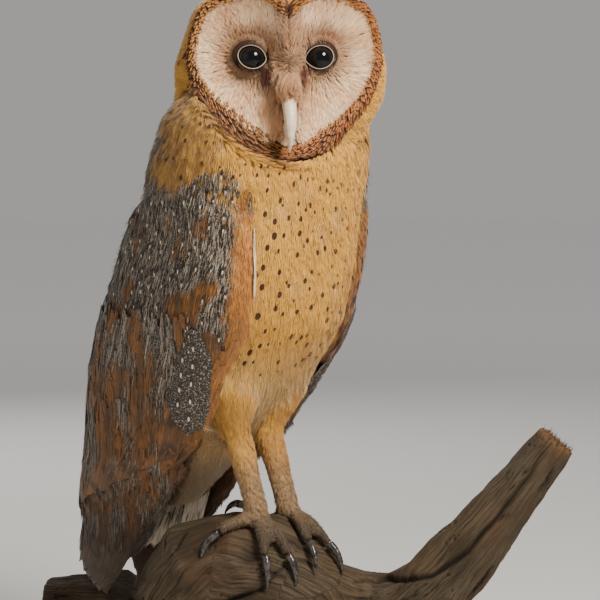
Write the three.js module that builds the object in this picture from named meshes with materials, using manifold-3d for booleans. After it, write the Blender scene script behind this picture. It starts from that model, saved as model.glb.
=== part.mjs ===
// A mounted barn owl, life size, standing on a piece of driftwood.
// Millimetres, +Z up. The origin is on the flat underside of the driftwood. The face looks along -Y.
// The bird's own frame has x to its left, y to its back and z up; it is turned BODY_YAW about z.
import * as THREE from "three";
import { mergeVertices } from "three/addons/utils/BufferGeometryUtils.js";
import Module from "manifold-3d";

const wasm = await Module();
wasm.setup();

// ---------------------------------------------------------------- driving dimensions
const GAP = 0.3; // between pieces that touch
const BODY_YAW = THREE.MathUtils.degToRad(42); // the body faces this far round from -Y towards +X
const STANCE_X = -18; // where the bird's own axis stands, along X
const HEAD_TURN = THREE.MathUtils.degToRad(-34); // the head against the body
const HEAD_NOD = THREE.MathUtils.degToRad(5); // the face looks this far down
const HEAD_Y = -11; // head centre, in the bird's frame
const HEAD_Z = 359;

const EYE_RADIUS = 8.2;
const EYE_SPREAD = 18.8; // eye centre to the midline
const EYE_RISE = 7; // eye centre above the head's centre

const HEEL_Z = 159;
const ANKLE_Z = 112;
const TOE_RADIUS = 4.1;
const CLAW_LENGTH = 21;
const CLAW_RADIUS = 2.6;
const CLAW_START = 0.6; // from the end of the toe to its root
const CLAW_RISE = THREE.MathUtils.degToRad(14); // how steeply a claw leaves its toe
const CLAW_CURVE = THREE.MathUtils.degToRad(66); // and how far it then turns down

const COLOURS = {
  flesh: 0xc9a263,
  disc: 0xe6d8c6,
  wing: 0x6f665c,
  flight: 0x8a5c2e,
  leg: 0xb98a52,
  foot: 0x8a7760,
  bill: 0xe9dfc4,
  eye: 0x120e0c,
  claw: 0x2b2724,
  wood: 0x77654c,
};

// ---------------------------------------------------------------- helpers
const vec = (x, y, z) => new THREE.Vector3(x, y, z);

// Rows of numbers read as one smooth function of their first column.
function profile(rows) {
  const last = rows.length - 1;
  return (at) => {
    let i = 0;
    while (i < last - 1 && at > rows[i + 1][0]) i += 1;
    const t = THREE.MathUtils.clamp((at - rows[i][0]) / (rows[i + 1][0] - rows[i][0]), 0, 1);
    const [p0, p1, p2, p3] = [rows[Math.max(i - 1, 0)], rows[i], rows[i + 1], rows[Math.min(i + 2, last)]];
    return p1.slice(1).map((_, k) => {
      const [a, b, c, d] = [p0[k + 1], p1[k + 1], p2[k + 1], p3[k + 1]];
      const slopeIn = (c - a) / 2;
      const slopeOut = (d - b) / 2;
      const t2 = t * t;
      const t3 = t2 * t;
      const places = (2 * t3 - 3 * t2 + 1) * b + (3 * t2 - 2 * t3) * c;
      return places + (t3 - 2 * t2 + t) * slopeIn + (t3 - t2) * slopeOut;
    });
  };
}

function geometryOf(points, triangles) {
  const geometry = new THREE.BufferGeometry().setFromPoints(points);
  geometry.setIndex(triangles);
  return geometry;
}

// A closed geometry as a manifold solid, turned face-out if it came inside out.
function solid(geometry) {
  const bare = geometry.clone();
  bare.deleteAttribute("normal");
  bare.deleteAttribute("uv");
  const merged = mergeVertices(bare, 1e-4);
  const vertProperties = merged.attributes.position.array;
  const build = (triVerts) =>
    new wasm.Manifold(new wasm.Mesh({ numProp: 3, vertProperties, triVerts }));
  const triVerts = new Uint32Array(merged.index.array);
  const made = build(triVerts);
  return made.volume() < 0 ? build(triVerts.reverse()) : made;
}

// Closed rings of points, joined in order and closed by a fan at each end.
function loft(rings) {
  const count = rings[0].length;
  const points = rings.flat();
  const triangles = [];
  for (let r = 0; r + 1 < rings.length; r += 1) {
    for (let i = 0; i < count; i += 1) {
      const [a, b] = [r * count + i, r * count + ((i + 1) % count)];
      triangles.push(a, b, b + count, a, b + count, a + count);
    }
  }
  const cap = (ring, first, flip) => {
    const middle = ring.reduce((sum, p) => sum.add(p), vec(0, 0, 0)).divideScalar(count);
    points.push(middle);
    for (let i = 0; i < count; i += 1) {
      const [a, b] = [first + i, first + ((i + 1) % count)];
      triangles.push(...(flip ? [b, a, points.length - 1] : [a, b, points.length - 1]));
    }
  };
  cap(rings[0], 0, true);
  cap(rings.at(-1), (rings.length - 1) * count, false);
  return solid(geometryOf(points, triangles));
}

// The closed sheet between two grids of points, outer[row][column] and inner[row][column].
function sheetBetween(outer, inner) {
  const [rows, columns] = [outer.length, outer[0].length];
  const end = columns - 1;
  const at = (side, r, c) => side * rows * columns + r * columns + c;
  const triangles = [];
  const quad = (a, b, c, d) => triangles.push(a, b, c, a, c, d);
  for (let r = 0; r + 1 < rows; r += 1) {
    for (let c = 0; c + 1 < columns; c += 1) {
      quad(at(0, r, c), at(0, r, c + 1), at(0, r + 1, c + 1), at(0, r + 1, c));
      quad(at(1, r, c), at(1, r + 1, c), at(1, r + 1, c + 1), at(1, r, c + 1));
    }
    quad(at(0, r, 0), at(0, r + 1, 0), at(1, r + 1, 0), at(1, r, 0));
    quad(at(0, r + 1, end), at(0, r, end), at(1, r, end), at(1, r + 1, end));
  }
  for (let c = 0; c + 1 < columns; c += 1) {
    quad(at(0, 0, c + 1), at(0, 0, c), at(1, 0, c), at(1, 0, c + 1));
    quad(at(0, rows - 1, c), at(0, rows - 1, c + 1), at(1, rows - 1, c + 1), at(1, rows - 1, c));
  }
  return solid(geometryOf([...outer.flat(), ...inner.flat()], triangles));
}

// A round or oval tube along a smooth curve. radii are [share of the length, across, deep].
function tube(route, radii, { steps = 10, sides = 10, grow = 0, lumps = 0 } = {}) {
  const curve = new THREE.CatmullRomCurve3(route);
  const frames = curve.computeFrenetFrames(steps, false);
  const size = profile(radii);
  const rings = [];
  for (let s = 0; s <= steps; s += 1) {
    const share = s / steps;
    const [across, deep] = size(share);
    const centre = curve.getPointAt(share);
    if (s === 0) centre.addScaledVector(frames.tangents[0], -grow);
    if (s === steps) centre.addScaledVector(frames.tangents[s], grow);
    const ring = [];
    for (let i = 0; i < sides; i += 1) {
      const turn = (2 * Math.PI * i) / sides;
      const swell = Math.sin(3 * turn + 7 * share) * Math.cos(11 * share + turn);
      const lump = 1 + lumps * (swell + 0.6 * Math.sin(5 * turn - 9 * share));
      const [c, d] = [(across * lump + grow) * Math.cos(turn), (deep * lump + grow) * Math.sin(turn)];
      const point = centre.clone().addScaledVector(frames.normals[s], c);
      ring.push(point.addScaledVector(frames.binormals[s], d));
    }
    rings.push(ring);
  }
  return loft(rings);
}

const join = (solids) => solids.reduce((all, one) => all.add(one));

const root = new THREE.Group();
const bird = new THREE.Group();
bird.position.x = STANCE_X;
bird.rotation.z = BODY_YAW;
root.add(bird);
const headGroup = new THREE.Group();
headGroup.position.set(0, HEAD_Y, HEAD_Z);
headGroup.rotation.set(HEAD_NOD, 0, HEAD_TURN, "ZYX");

// A solid as a named mesh of its group.
function addMesh(group, name, made, colour, roughness = 0.8) {
  const mesh = made.simplify(0.1).getMesh();
  const geometry = new THREE.BufferGeometry();
  geometry.setAttribute("position", new THREE.BufferAttribute(new Float32Array(mesh.vertProperties), 3));
  geometry.setIndex(new THREE.BufferAttribute(new Uint32Array(mesh.triVerts), 1));
  geometry.computeVertexNormals();
  const material = new THREE.MeshStandardMaterial({ color: colour, roughness, metalness: 0 });
  const node = new THREE.Mesh(geometry, material);
  node.name = name;
  group.add(node);
  return node;
}

// The largest body of a solid that a cut has left in pieces.
function largest(made) {
  return made.decompose().reduce((best, one) => (one.volume() > best.volume() ? one : best));
}

// ---------------------------------------------------------------- body
// A level section: the distance from its centre at an angle from the front, for a rounded box.
function reach(angle, front, back, half, square) {
  const [c, s] = [Math.cos(angle), Math.abs(Math.sin(angle))];
  return ((Math.abs(c) / (c > 0 ? front : back)) ** square + (s / half) ** square) ** (-1 / square);
}

// Height, then the section's centre, its depth in front and behind, its half width and its squareness.
const TRUNK = profile([
  [106, 80, 8, 12, 12, 2],
  [122, 74, 20, 24, 22, 2],
  [140, 66, 32, 37, 32, 2.1],
  [160, 58, 45, 52, 41, 2.3],
  [180, 48, 55, 59, 46, 2.5],
  [200, 39, 62, 63, 49, 2.6],
  [221, 30, 67, 65, 51, 2.7],
  [248, 22, 65, 62, 53, 2.6],
  [275, 14, 59, 59, 57, 2.5],
  [295, 8, 53, 57, 62, 2.5],
  [314, 2, 47, 57, 63.5, 2.4],
  [330, -3, 41, 55, 62.5, 2.3],
  [345, -7, 33, 50, 58, 2.2],
  [358, -9, 22, 40, 44, 2.1],
  [368, -9, 12, 26, 28, 2],
]);
const TRUNK_LOW = 106;
const TRUNK_TOP = 368;

function bodySolid(grow = 0) {
  const levels = 14;
  const sides = 26;
  const rings = [];
  for (let k = 0; k <= levels; k += 1) {
    const z = THREE.MathUtils.lerp(TRUNK_LOW - grow, TRUNK_TOP + grow, k / levels);
    const [middle, front, back, half, square] = TRUNK(z);
    const ring = [];
    for (let i = 0; i < sides; i += 1) {
      const angle = (2 * Math.PI * i) / sides;
      const r = reach(angle, front, back, half, square) + grow;
      ring.push(vec(r * Math.sin(angle), middle - r * Math.cos(angle), z));
    }
    rings.push(ring);
  }
  return loft(rings);
}

// ---------------------------------------------------------------- head and face
// The heart-shaped edge of the facial disc: degrees round from the top, and the distance from its centre.
const DISC_EDGE = profile([
  [0, 31],
  [14, 40],
  [32, 47.5],
  [51, 54],
  [70, 52],
  [81, 50.5],
  [100, 45.5],
  [119, 40.5],
  [144, 39],
  [164, 41],
  [180, 43],
]);
// The ruff round the disc is widest low on the cheeks.
const RUFF_WIDTH = profile([
  [0, 7],
  [60, 4.5],
  [110, 6],
  [140, 8],
  [165, 6],
  [180, 4.5],
]);
// The head's outline behind the ruff, seen from the front.
const HEAD_EDGE = profile([
  [0, 48],
  [40, 53],
  [75, 57],
  [100, 61],
  [120, 61],
  [140, 57],
  [180, 52],
]);
const DISC_FRONT = 31; // how far the disc's middle stands before the head's centre
const DISC_SWEEP = 15; // how far its sides lie behind its middle
const HEAD_BACK = 45;
const HEAD_SIDES = 28;

// Turns round the face, closer together near its middle line where the ridge stands.
const HEAD_TURNS = Array.from({ length: HEAD_SIDES }, (_, i) => {
  const even = (2 * Math.PI * i) / HEAD_SIDES;
  return even - 0.2 * Math.sin(2 * even);
});
function degreesFromTop(turn) {
  return Math.abs(THREE.MathUtils.radToDeg(Math.atan2(Math.sin(turn), Math.cos(turn))));
}

// The depth of the face before the head's centre, at u to the bird's left and v above the centre.
function faceDepth(u, v, share) {
  const swept = DISC_FRONT - DISC_SWEEP * (Math.abs(u) / 52) ** 1.6 - 3 * (v / 45) ** 2;
  const dish = -7 * Math.sin(Math.PI * Math.min(share, 1)) ** 1.2 * Math.min(1, Math.abs(u) / 14);
  const ridge = 6 * Math.exp(-((u / 8) ** 2)) * THREE.MathUtils.smoothstep(34 - Math.abs(v + 4), 0, 16);
  return swept + dish + ridge;
}

function headSolid(grow = 0) {
  const rings = [];
  const addRing = (place) => {
    const ring = HEAD_TURNS.map((turn) => {
      const [bare, depth] = place(turn, degreesFromTop(turn));
      const radius = bare + grow;
      return vec(radius * Math.sin(turn), -depth - Math.sign(depth) * grow, radius * Math.cos(turn));
    });
    rings.push(ring);
  };
  for (const share of [0.22, 0.48, 0.74, 0.97]) {
    addRing((turn, degrees) => {
      const radius = share * DISC_EDGE(degrees)[0];
      return [radius, faceDepth(radius * Math.sin(turn), radius * Math.cos(turn), share)];
    });
  }
  // the ruff stands proud of the disc, then turns back into the side of the head
  const rim = (turn, degrees) => {
    const radius = DISC_EDGE(degrees)[0];
    return faceDepth(radius * Math.sin(turn), radius * Math.cos(turn), 1);
  };
  const ruff = (degrees, share) => DISC_EDGE(degrees)[0] + share * RUFF_WIDTH(degrees)[0];
  addRing((turn, degrees) => [ruff(degrees, 0.45), rim(turn, degrees) + 2.6]);
  addRing((turn, degrees) => [ruff(degrees, 1), rim(turn, degrees) - 0.5]);
  const sideSteps = 2;
  for (let k = 1; k <= sideSteps; k += 1) {
    const share = k / sideSteps;
    addRing((turn, degrees) => {
      const start = DISC_EDGE(degrees)[0] + RUFF_WIDTH(degrees)[0];
      const radius = THREE.MathUtils.lerp(start, Math.max(start, HEAD_EDGE(degrees)[0]), Math.sqrt(share));
      return [radius, THREE.MathUtils.lerp(rim(turn, degrees) - 0.5, 0, share)];
    });
  }
  const backSteps = 5;
  for (let k = 1; k <= backSteps; k += 1) {
    const round = (k / (backSteps + 0.4)) * (Math.PI / 2);
    addRing((turn, degrees) => {
      const start = Math.max(DISC_EDGE(degrees)[0] + RUFF_WIDTH(degrees)[0], HEAD_EDGE(degrees)[0]);
      return [start * Math.cos(round) ** 0.85, -HEAD_BACK * Math.sin(round)];
    });
  }
  return loft(rings);
}

// A prism of the disc's outline, or that of the ruff round it, from behind the face to well before it.
function discPrism(grow, ruff = 0) {
  const ringAt = (depth) =>
    HEAD_TURNS.map((turn) => {
      const degrees = degreesFromTop(turn);
      const radius = DISC_EDGE(degrees)[0] + ruff * RUFF_WIDTH(degrees)[0] + grow;
      return vec(radius * Math.sin(turn), -depth, radius * Math.cos(turn));
    });
  return loft([ringAt(8 - grow), ringAt(70)]);
}

const eyeAt = (side) => vec(side * EYE_SPREAD, -(DISC_FRONT - 9.5), EYE_RISE);
function eyeSolid(side, grow = 0) {
  const ball = new THREE.SphereGeometry(EYE_RADIUS + grow, 14, 8).rotateX(Math.PI / 2);
  const at = eyeAt(side);
  return solid(ball.translate(at.x, at.y, at.z));
}

function billUpper(grow = 0) {
  const arch = [vec(0, -29, -13), vec(0, -38, -19), vec(0, -43, -28)];
  const route = [...arch, vec(0, -42, -37), vec(0, -39, -43.5)];
  const radii = [
    [0, 4.2, 5.6],
    [0.35, 3.9, 4.6],
    [0.7, 2.6, 3],
    [1, 0.5, 0.7],
  ];
  return tube(route, radii, { steps: 7, sides: 10, grow });
}

function billLower(grow = 0) {
  const route = [vec(0, -25, -24), vec(0, -33, -31), vec(0, -37, -38)];
  const radii = [
    [0, 3.6, 2.6],
    [0.6, 2.8, 2],
    [1, 1, 0.8],
  ];
  return tube(route, radii, { steps: 4, sides: 8, grow });
}

// ---------------------------------------------------------------- wings
// The folded wings and what they cover, as level sections like those of the trunk, down to the wing tips.
const WINGS = profile([
  [43, 138, 12, 14, 14, 2.4],
  [60, 130, 26, 28, 26, 2.6],
  [92, 106, 38, 40, 36, 2.8],
  [113, 92, 44, 47, 41, 3],
  [140, 72, 53, 57, 47, 3],
  [167, 57, 58, 67, 52, 3],
  [194, 43, 64, 74, 56, 3],
  [221, 31, 68, 76, 59, 2.9],
  [248, 22, 66, 72, 61, 2.8],
  [275, 14, 60, 66, 62, 2.7],
  [300, 7, 55, 60, 62, 2.5],
]);
// Height, then the angles from the front of the leading edge, right and left, and of the trailing edge.
const WING_EDGES = profile([
  [43, 66, 80, 150],
  [60, 46, 70, 162],
  [92, 38, 63, 170],
  [113, 38, 61, 173],
  [156, 37, 57, 172],
  [190, 36, 48, 168],
  [218, 34, 41, 161],
  [250, 36, 38, 150],
  [275, 44, 44, 138],
  [290, 58, 58, 126],
  [300, 84, 84, 104],
]);
const WING_TIP_Z = 43;
const WING_TOP_Z = 300;
const ARM_THICKNESS = profile([
  [90, 2.2],
  [150, 5],
  [200, 8.5],
  [260, 9.5],
  [300, 4],
]);
const HAND_THICKNESS = 3;
const HAND_DEPTH = 2.4; // how far the primaries lie under the arm's feathers, below its lower edge

function wingPoint(side, z, degrees, depth) {
  const angle = THREE.MathUtils.degToRad(degrees);
  const [middle, front, back, half, square] = WINGS(z);
  const r = reach(angle, front, back, half, square) - depth;
  return vec(side * r * Math.sin(angle), middle - r * Math.cos(angle), z);
}

// A wing as a grid: share 0 is its upper edge, and low(across) the height of its lower edge.
// skinDepth is how far it lies under the wings' outer surface; wider is the degrees added at each edge.
function wingSheet(side, { top, low, skinDepth, thickness, rows, columns, wider = 0 }) {
  const grid = (inner) =>
    Array.from({ length: rows + 1 }, (_, r) =>
      Array.from({ length: columns + 1 }, (_, c) => {
        const across = c / columns;
        const z = THREE.MathUtils.lerp(top, low(across), r / rows);
        const [leadRight, leadLeft, trail] = WING_EDGES(z);
        const lead = side < 0 ? leadRight : leadLeft;
        const edge = Math.min(1, 4.5 * Math.min(across, 1 - across) + 0.25);
        const depth = skinDepth(z) + (inner ? thickness(z) : 0.25 * thickness(z) * (1 - edge));
        return wingPoint(side, z, THREE.MathUtils.lerp(lead - wider, trail + wider, across), depth);
      }),
    );
  return sheetBetween(grid(false), grid(true));
}

// The secondaries' rounded tips step down the lower edge of the arm.
const SECONDARIES = 6;
function armLowEdge(across) {
  const tip = Math.abs(Math.sin(across * SECONDARIES * Math.PI));
  return THREE.MathUtils.lerp(150, 92, across ** 0.8) - 6 * tip ** 0.6;
}
const armThickness = (z) => ARM_THICKNESS(z)[0];

function wingArm(side, grow = 0) {
  return wingSheet(side, {
    top: WING_TOP_Z + grow,
    low: (across) => armLowEdge(across) - grow,
    skinDepth: () => -grow,
    thickness: (z) => armThickness(z) + 2 * grow,
    rows: 9,
    columns: 12,
    wider: 2 * grow,
  });
}

// The primaries run from under the arm to the wing tip, their own tips stepping up the trailing edge.
const PRIMARIES = 4;
function handLowEdge(across) {
  const tip = Math.abs(Math.sin(across * PRIMARIES * Math.PI));
  return WING_TIP_Z + 3 + 30 * across ** 1.5 - 5 * tip ** 0.6 * Math.min(1, 4 * across);
}
const handDepth = (z) => (z > 90 ? armThickness(z) + 1.5 : HAND_DEPTH);
function wingHand(side) {
  const thickness = () => HAND_THICKNESS;
  const size = { top: 150, low: handLowEdge, rows: 8, columns: 8 };
  return wingSheet(side, { ...size, skinDepth: handDepth, thickness });
}

// ---------------------------------------------------------------- tail
const TAIL_FEATHERS = 6; // on show at the fan's lower edge
function tailSolid() {
  const [top, foot] = [vec(0, 58, 165), vec(0, 110, 76)];
  const [rows, columns] = [9, 12];
  const halfWidth = profile([
    [0, 10],
    [0.5, 18],
    [1, 25],
  ]);
  const grid = (thickness) =>
    Array.from({ length: rows + 1 }, (_, r) =>
      Array.from({ length: columns + 1 }, (_, c) => {
        const across = (2 * c) / columns - 1;
        const tip = Math.abs(Math.sin(((across + 1) / 2) * TAIL_FEATHERS * Math.PI));
        const along = (r / rows) * (0.96 - 0.05 * across ** 2 + 0.05 * tip ** 0.6);
        const middle = top.clone().lerp(foot, along);
        const arch = 5 * across ** 2;
        return vec(across * halfWidth(along)[0], middle.y - arch - thickness, middle.z);
      }),
    );
  return sheetBetween(grid(0), grid(4.2));
}

// ---------------------------------------------------------------- legs
const LEGS = {
  right: { side: -1, hip: vec(-27, 22, 212), heel: vec(-16, 12, HEEL_Z), ankle: vec(-9, -1, ANKLE_Z) },
  left: { side: 1, hip: vec(25, 20, 210), heel: vec(14, 20, HEEL_Z), ankle: vec(15, 0, ANKLE_Z) },
};

function thighSolid({ hip, heel }) {
  const knee = hip.clone().lerp(heel, 0.5).add(vec(0, -9, 2));
  const radii = [
    [0, 20, 22],
    [0.45, 18, 19],
    [0.8, 12.5, 13.5],
    [1, 9, 9.5],
  ];
  return tube([hip, knee, heel.clone().add(vec(0, 0, -3))], radii, { steps: 6, sides: 12 });
}

function shankSolid({ heel, ankle }, grow = 0) {
  const radii = [
    [0, 8.6, 9.2],
    [0.3, 7.6, 8.2],
    [0.75, 6.3, 6.6],
    [1, 6.6, 6.8],
  ];
  const middle = heel.clone().lerp(ankle, 0.5).add(vec(0, -1, 0));
  return tube([heel.clone().add(vec(0, 0, 6)), middle, ankle], radii, { steps: 5, sides: 10, grow });
}

// ---------------------------------------------------------------- driftwood, in the row's frame
function woodSolid(grow = 0) {
  const lumps = 0.12;
  const log = tube(
    [vec(-78, 10, 46), vec(-50, 6, 71), vec(-20, 6, 67), vec(14, 14, 49), vec(48, 12, 48), vec(76, 0, 62)],
    [
      [0, 20, 24],
      [0.2, 32, 35],
      [0.45, 35, 36],
      [0.7, 27, 30],
      [1, 18, 20],
    ],
    { steps: 11, sides: 12, grow, lumps },
  );
  const branch = tube(
    [vec(38, 4, 30), vec(70, 0, 60), vec(91, -1, 85), vec(114, -2, 112), vec(144, -4, 151)],
    [
      [0, 24, 26],
      [0.3, 20, 21],
      [0.6, 16, 17],
      [0.85, 13, 14],
      [1, 11.5, 12.5],
    ],
    { steps: 9, sides: 10, grow, lumps },
  );
  const backRoot = tube(
    [vec(-6, 20, 28), vec(-54, 96, 8), vec(-106, 150, 30), vec(-158, 156, 32)],
    [
      [0, 30, 34],
      [0.4, 22, 24],
      [0.75, 20, 23],
      [1, 13, 16],
    ],
    { steps: 9, sides: 10, grow, lumps },
  );
  const core = tube(
    [vec(-18, 6, 68), vec(-4, 6, 36), vec(6, 8, -6)],
    [
      [0, 26, 24],
      [0.5, 36, 34],
      [1, 56, 46],
    ],
    { steps: 4, sides: 12, grow, lumps },
  );
  const foot = (x, y, radius) =>
    tube(
      [vec(6, 4, 42), vec(x * 0.6, y * 0.6, 26), vec(x, y, 6)],
      [
        [0, 26, 28],
        [0.6, 24, 28],
        [1, radius, radius],
      ],
      { steps: 4, sides: 9, grow, lumps },
    );
  const feet = [foot(-58, -46, 18), foot(88, -38, 16), foot(74, 52, 18)];
  const whole = join([log, branch, backRoot, core, ...feet]);
  return whole.trimByPlane([0, 0, 1], 0);
}

// ---------------------------------------------------------------- assembly
const headWhole = headSolid();
const eyes = { right: -1, left: 1 };
bird.add(headGroup);
root.updateMatrixWorld(true);
const headToBird = headGroup.matrix.elements.slice();

const hardParts = join([eyeSolid(-1, GAP), eyeSolid(1, GAP), billUpper(GAP), billLower(GAP)]);
const disc = largest(headWhole.intersect(discPrism(0)).subtract(hardParts));
addMesh(headGroup, "facial_disc", disc, COLOURS.disc);
addMesh(headGroup, "head", largest(headWhole.subtract(discPrism(GAP)).subtract(hardParts)), COLOURS.flesh);
for (const [name, side] of Object.entries(eyes)) {
  addMesh(headGroup, `eye_${name}`, eyeSolid(side), COLOURS.eye, 0.05);
}
addMesh(headGroup, "bill_upper", billUpper(), COLOURS.bill, 0.35);
addMesh(headGroup, "bill_lower", largest(billLower().subtract(billUpper(GAP))), COLOURS.bill, 0.35);

const headRoom = headSolid(GAP).add(discPrism(GAP, 1)).transform(headToBird);
const body = bodySolid();
// The neck meets the trunk on a plane that falls towards the back.
const neckTilt = [0, 0.24, 0.97];
const NECK_LEVEL = 283;
const neck = largest(body.trimByPlane(neckTilt, NECK_LEVEL + GAP).subtract(headRoom));
addMesh(bird, "neck", neck, COLOURS.flesh);
const torso = body.trimByPlane(neckTilt.map((n) => -n), -NECK_LEVEL).subtract(headRoom);
const bodyRoom = bodySolid(GAP);

const tail = largest(tailSolid().subtract(bodyRoom));
addMesh(bird, "tail", tail, COLOURS.flight);

const wings = {};
for (const [name, side] of Object.entries(eyes)) {
  wings[name] = largest(wingArm(side).subtract(bodyRoom).subtract(headRoom));
  addMesh(bird, `wing_${name}`, wings[name], COLOURS.wing);
  const primaries = wingHand(side).subtract(wingArm(side, GAP)).subtract(bodyRoom);
  addMesh(bird, `primaries_${name}`, largest(primaries), COLOURS.flight);
}

const wood = woodSolid();
bird.updateMatrixWorld(true);
const birdFromRow = bird.matrixWorld.clone().invert();
const woodRoom = woodSolid(GAP).transform(birdFromRow.elements.slice());
addMesh(root, "driftwood", wood, COLOURS.wood);
const woodShape = root.getObjectByName("driftwood").geometry;
const woodSurface = new THREE.Mesh(woodShape, new THREE.MeshBasicMaterial());

// The height of the wood's surface under a point of the bird's frame.
function woodUnder(point) {
  const start = bird.localToWorld(point.clone()).setZ(300);
  const hits = new THREE.Raycaster(start, vec(0, 0, -1)).intersectObject(woodSurface);
  return hits.length ? hits[0].point.z : 0;
}

// Each toe: its compass direction from straight ahead towards the bird's left, and its length.
const TOES = {
  right: [
    ["inner", 10, 24],
    ["middle", -27, 21],
    ["outer", -108, 21],
    ["hind", 172, 18],
  ],
  left: [
    ["inner", -12, 24],
    ["middle", 18, 27],
    ["outer", 122, 22],
    ["hind", -172, 18],
  ],
};

// A toe lies along the wood's surface: points a radius above it, its last heading and the way off the wood.
function toeRoute(ankle, degrees, length) {
  const turn = THREE.MathUtils.degToRad(degrees);
  const way = vec(Math.sin(turn), -Math.cos(turn), 0);
  const height = (out) => woodUnder(ankle.clone().addScaledVector(way, out));
  const slopeAt = (out) => (height(out + 4) - height(out - 4)) / 8;
  const joints = 6;
  const points = [];
  let out = 0;
  let normal;
  for (let k = 0; k <= joints; k += 1) {
    const slope = Math.max(slopeAt(out), -2);
    normal = way.clone().multiplyScalar(-slope).add(vec(0, 0, 1)).normalize();
    const at = ankle.clone().addScaledVector(way, out).setZ(height(out));
    points.push(at.addScaledVector(normal, TOE_RADIUS + 2 * GAP));
    out += length / joints / Math.hypot(1, slope);
  }
  const heading = way.clone().addScaledVector(normal, -way.dot(normal)).normalize();
  return { points, heading, normal };
}

function clawSolid(end, heading, normal, grow = 0) {
  const bend = CLAW_LENGTH / CLAW_CURVE;
  const points = [0, 0.25, 0.5, 0.75, 1].map((t) => {
    const slope = CLAW_RISE - CLAW_CURVE * t;
    const forward = bend * (Math.sin(CLAW_RISE) - Math.sin(slope));
    const up = bend * (Math.cos(slope) - Math.cos(CLAW_RISE));
    return end.clone().addScaledVector(heading, forward + CLAW_START).addScaledVector(normal, up);
  });
  const radii = [
    [0, CLAW_RADIUS, CLAW_RADIUS * 1.15],
    [0.5, CLAW_RADIUS * 0.68, CLAW_RADIUS * 0.75],
    [1, 0.3, 0.3],
  ];
  return tube(points, radii, { steps: 5, sides: 6, grow });
}

const shanks = join(Object.values(LEGS).map((leg) => shankSolid(leg, GAP)));
for (const [name, leg] of Object.entries(LEGS)) {
  const hub = solid(new THREE.SphereGeometry(7.4, 8, 5).rotateX(Math.PI / 2));
  const palm = hub.scale([1, 1, 0.8]).translate([leg.ankle.x, leg.ankle.y, woodUnder(leg.ankle) + 5.5]);
  const toes = [palm];
  const claws = [];
  for (const [toe, degrees, length] of TOES[name]) {
    const { points, heading, normal } = toeRoute(leg.ankle, degrees, length);
    const taper = [
      [0, TOE_RADIUS * 1.1, TOE_RADIUS * 1.1],
      [0.5, TOE_RADIUS, TOE_RADIUS],
      [1, TOE_RADIUS * 0.8, TOE_RADIUS * 0.8],
    ];
    toes.push(tube(points, taper, { steps: 4, sides: 6 }));
    claws.push([toe, points.at(-1), heading, normal]);
  }
  const clawRoom = join(claws.map(([, ...place]) => clawSolid(...place, 1.3 * GAP)));
  const foot = join(toes).subtract(woodRoom).subtract(shankSolid(leg, GAP)).subtract(clawRoom);
  addMesh(bird, `foot_${name}`, largest(foot), COLOURS.foot);
  addMesh(bird, `shank_${name}`, shankSolid(leg).subtract(woodRoom), COLOURS.leg);
  for (const [toe, ...place] of claws) {
    const claw = largest(clawSolid(...place).subtract(woodRoom));
    addMesh(bird, `claw_${name}_${toe}`, claw, COLOURS.claw, 0.3);
  }
  const thigh = thighSolid(leg).subtract(shanks).subtract(bodyRoom).subtract(wingArm(leg.side, GAP));
  addMesh(bird, `thigh_${name}`, largest(thigh), COLOURS.flesh);
}
addMesh(bird, "trunk", largest(torso.subtract(shanks)), COLOURS.flesh);

export default root;
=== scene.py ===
"""A mounted barn owl on driftwood: skin, plumage, eyes, bill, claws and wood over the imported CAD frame.

Lengths are in millimetres while shapes are worked out, and become metres when a mesh is made.
The bird's own frame has x to its left, y to its back and z up; the head has a frame of its own.
Points and vectors are arrays with one row for each, in the part's frame unless a name says bird or head.
"""

import math

import bpy
import numpy as np
from mathutils import Matrix, Vector
from mathutils.bvhtree import BVHTree


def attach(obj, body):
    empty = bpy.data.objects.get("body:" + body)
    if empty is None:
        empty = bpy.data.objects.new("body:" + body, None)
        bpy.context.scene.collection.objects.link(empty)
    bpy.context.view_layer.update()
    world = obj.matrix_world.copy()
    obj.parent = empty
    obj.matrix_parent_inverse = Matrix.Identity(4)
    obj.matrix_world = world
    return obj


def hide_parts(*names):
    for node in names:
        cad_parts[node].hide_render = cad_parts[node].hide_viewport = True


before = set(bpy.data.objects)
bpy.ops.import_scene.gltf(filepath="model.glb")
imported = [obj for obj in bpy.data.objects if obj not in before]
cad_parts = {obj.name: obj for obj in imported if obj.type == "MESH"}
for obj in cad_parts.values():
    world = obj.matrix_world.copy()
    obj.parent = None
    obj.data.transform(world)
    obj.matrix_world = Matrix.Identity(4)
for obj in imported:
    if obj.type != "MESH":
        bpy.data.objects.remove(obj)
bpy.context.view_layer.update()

MM = 0.001

# ---------------------------------------------------------------- places, as in the CAD model
BODY_YAW = math.radians(42)
STANCE = Vector((-18, 0, 0))
HEAD_TURN = math.radians(-34)
HEAD_NOD = math.radians(5)
HEAD_AT = Vector((0, -11, 359))
EYE_SPREAD = 18.8
EYE_RISE = 7
EYE_DEPTH = 21.5
EYE_RADIUS = 8.2

TO_ROW = Matrix.Translation(STANCE) @ Matrix.Rotation(BODY_YAW, 4, "Z")
HEAD_SWING = Matrix.Rotation(HEAD_TURN, 4, "Z") @ Matrix.Rotation(HEAD_NOD, 4, "X")
HEAD_IN_BIRD = Matrix.Translation(HEAD_AT) @ HEAD_SWING
HEAD_TO_ROW = TO_ROW @ HEAD_IN_BIRD

# The heart-shaped edge of the facial disc and the ruff round it: degrees from the top, then millimetres.
DISC_DEGREES = [0, 14, 32, 51, 70, 81, 100, 119, 144, 164, 180]
DISC_EDGE = [31, 40, 47.5, 54, 52, 50.5, 45.5, 40.5, 39, 41, 43]
RUFF_DEGREES = [0, 60, 110, 140, 165, 180]
RUFF_WIDTH = [7, 4.5, 6, 8, 6, 4.5]


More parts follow.
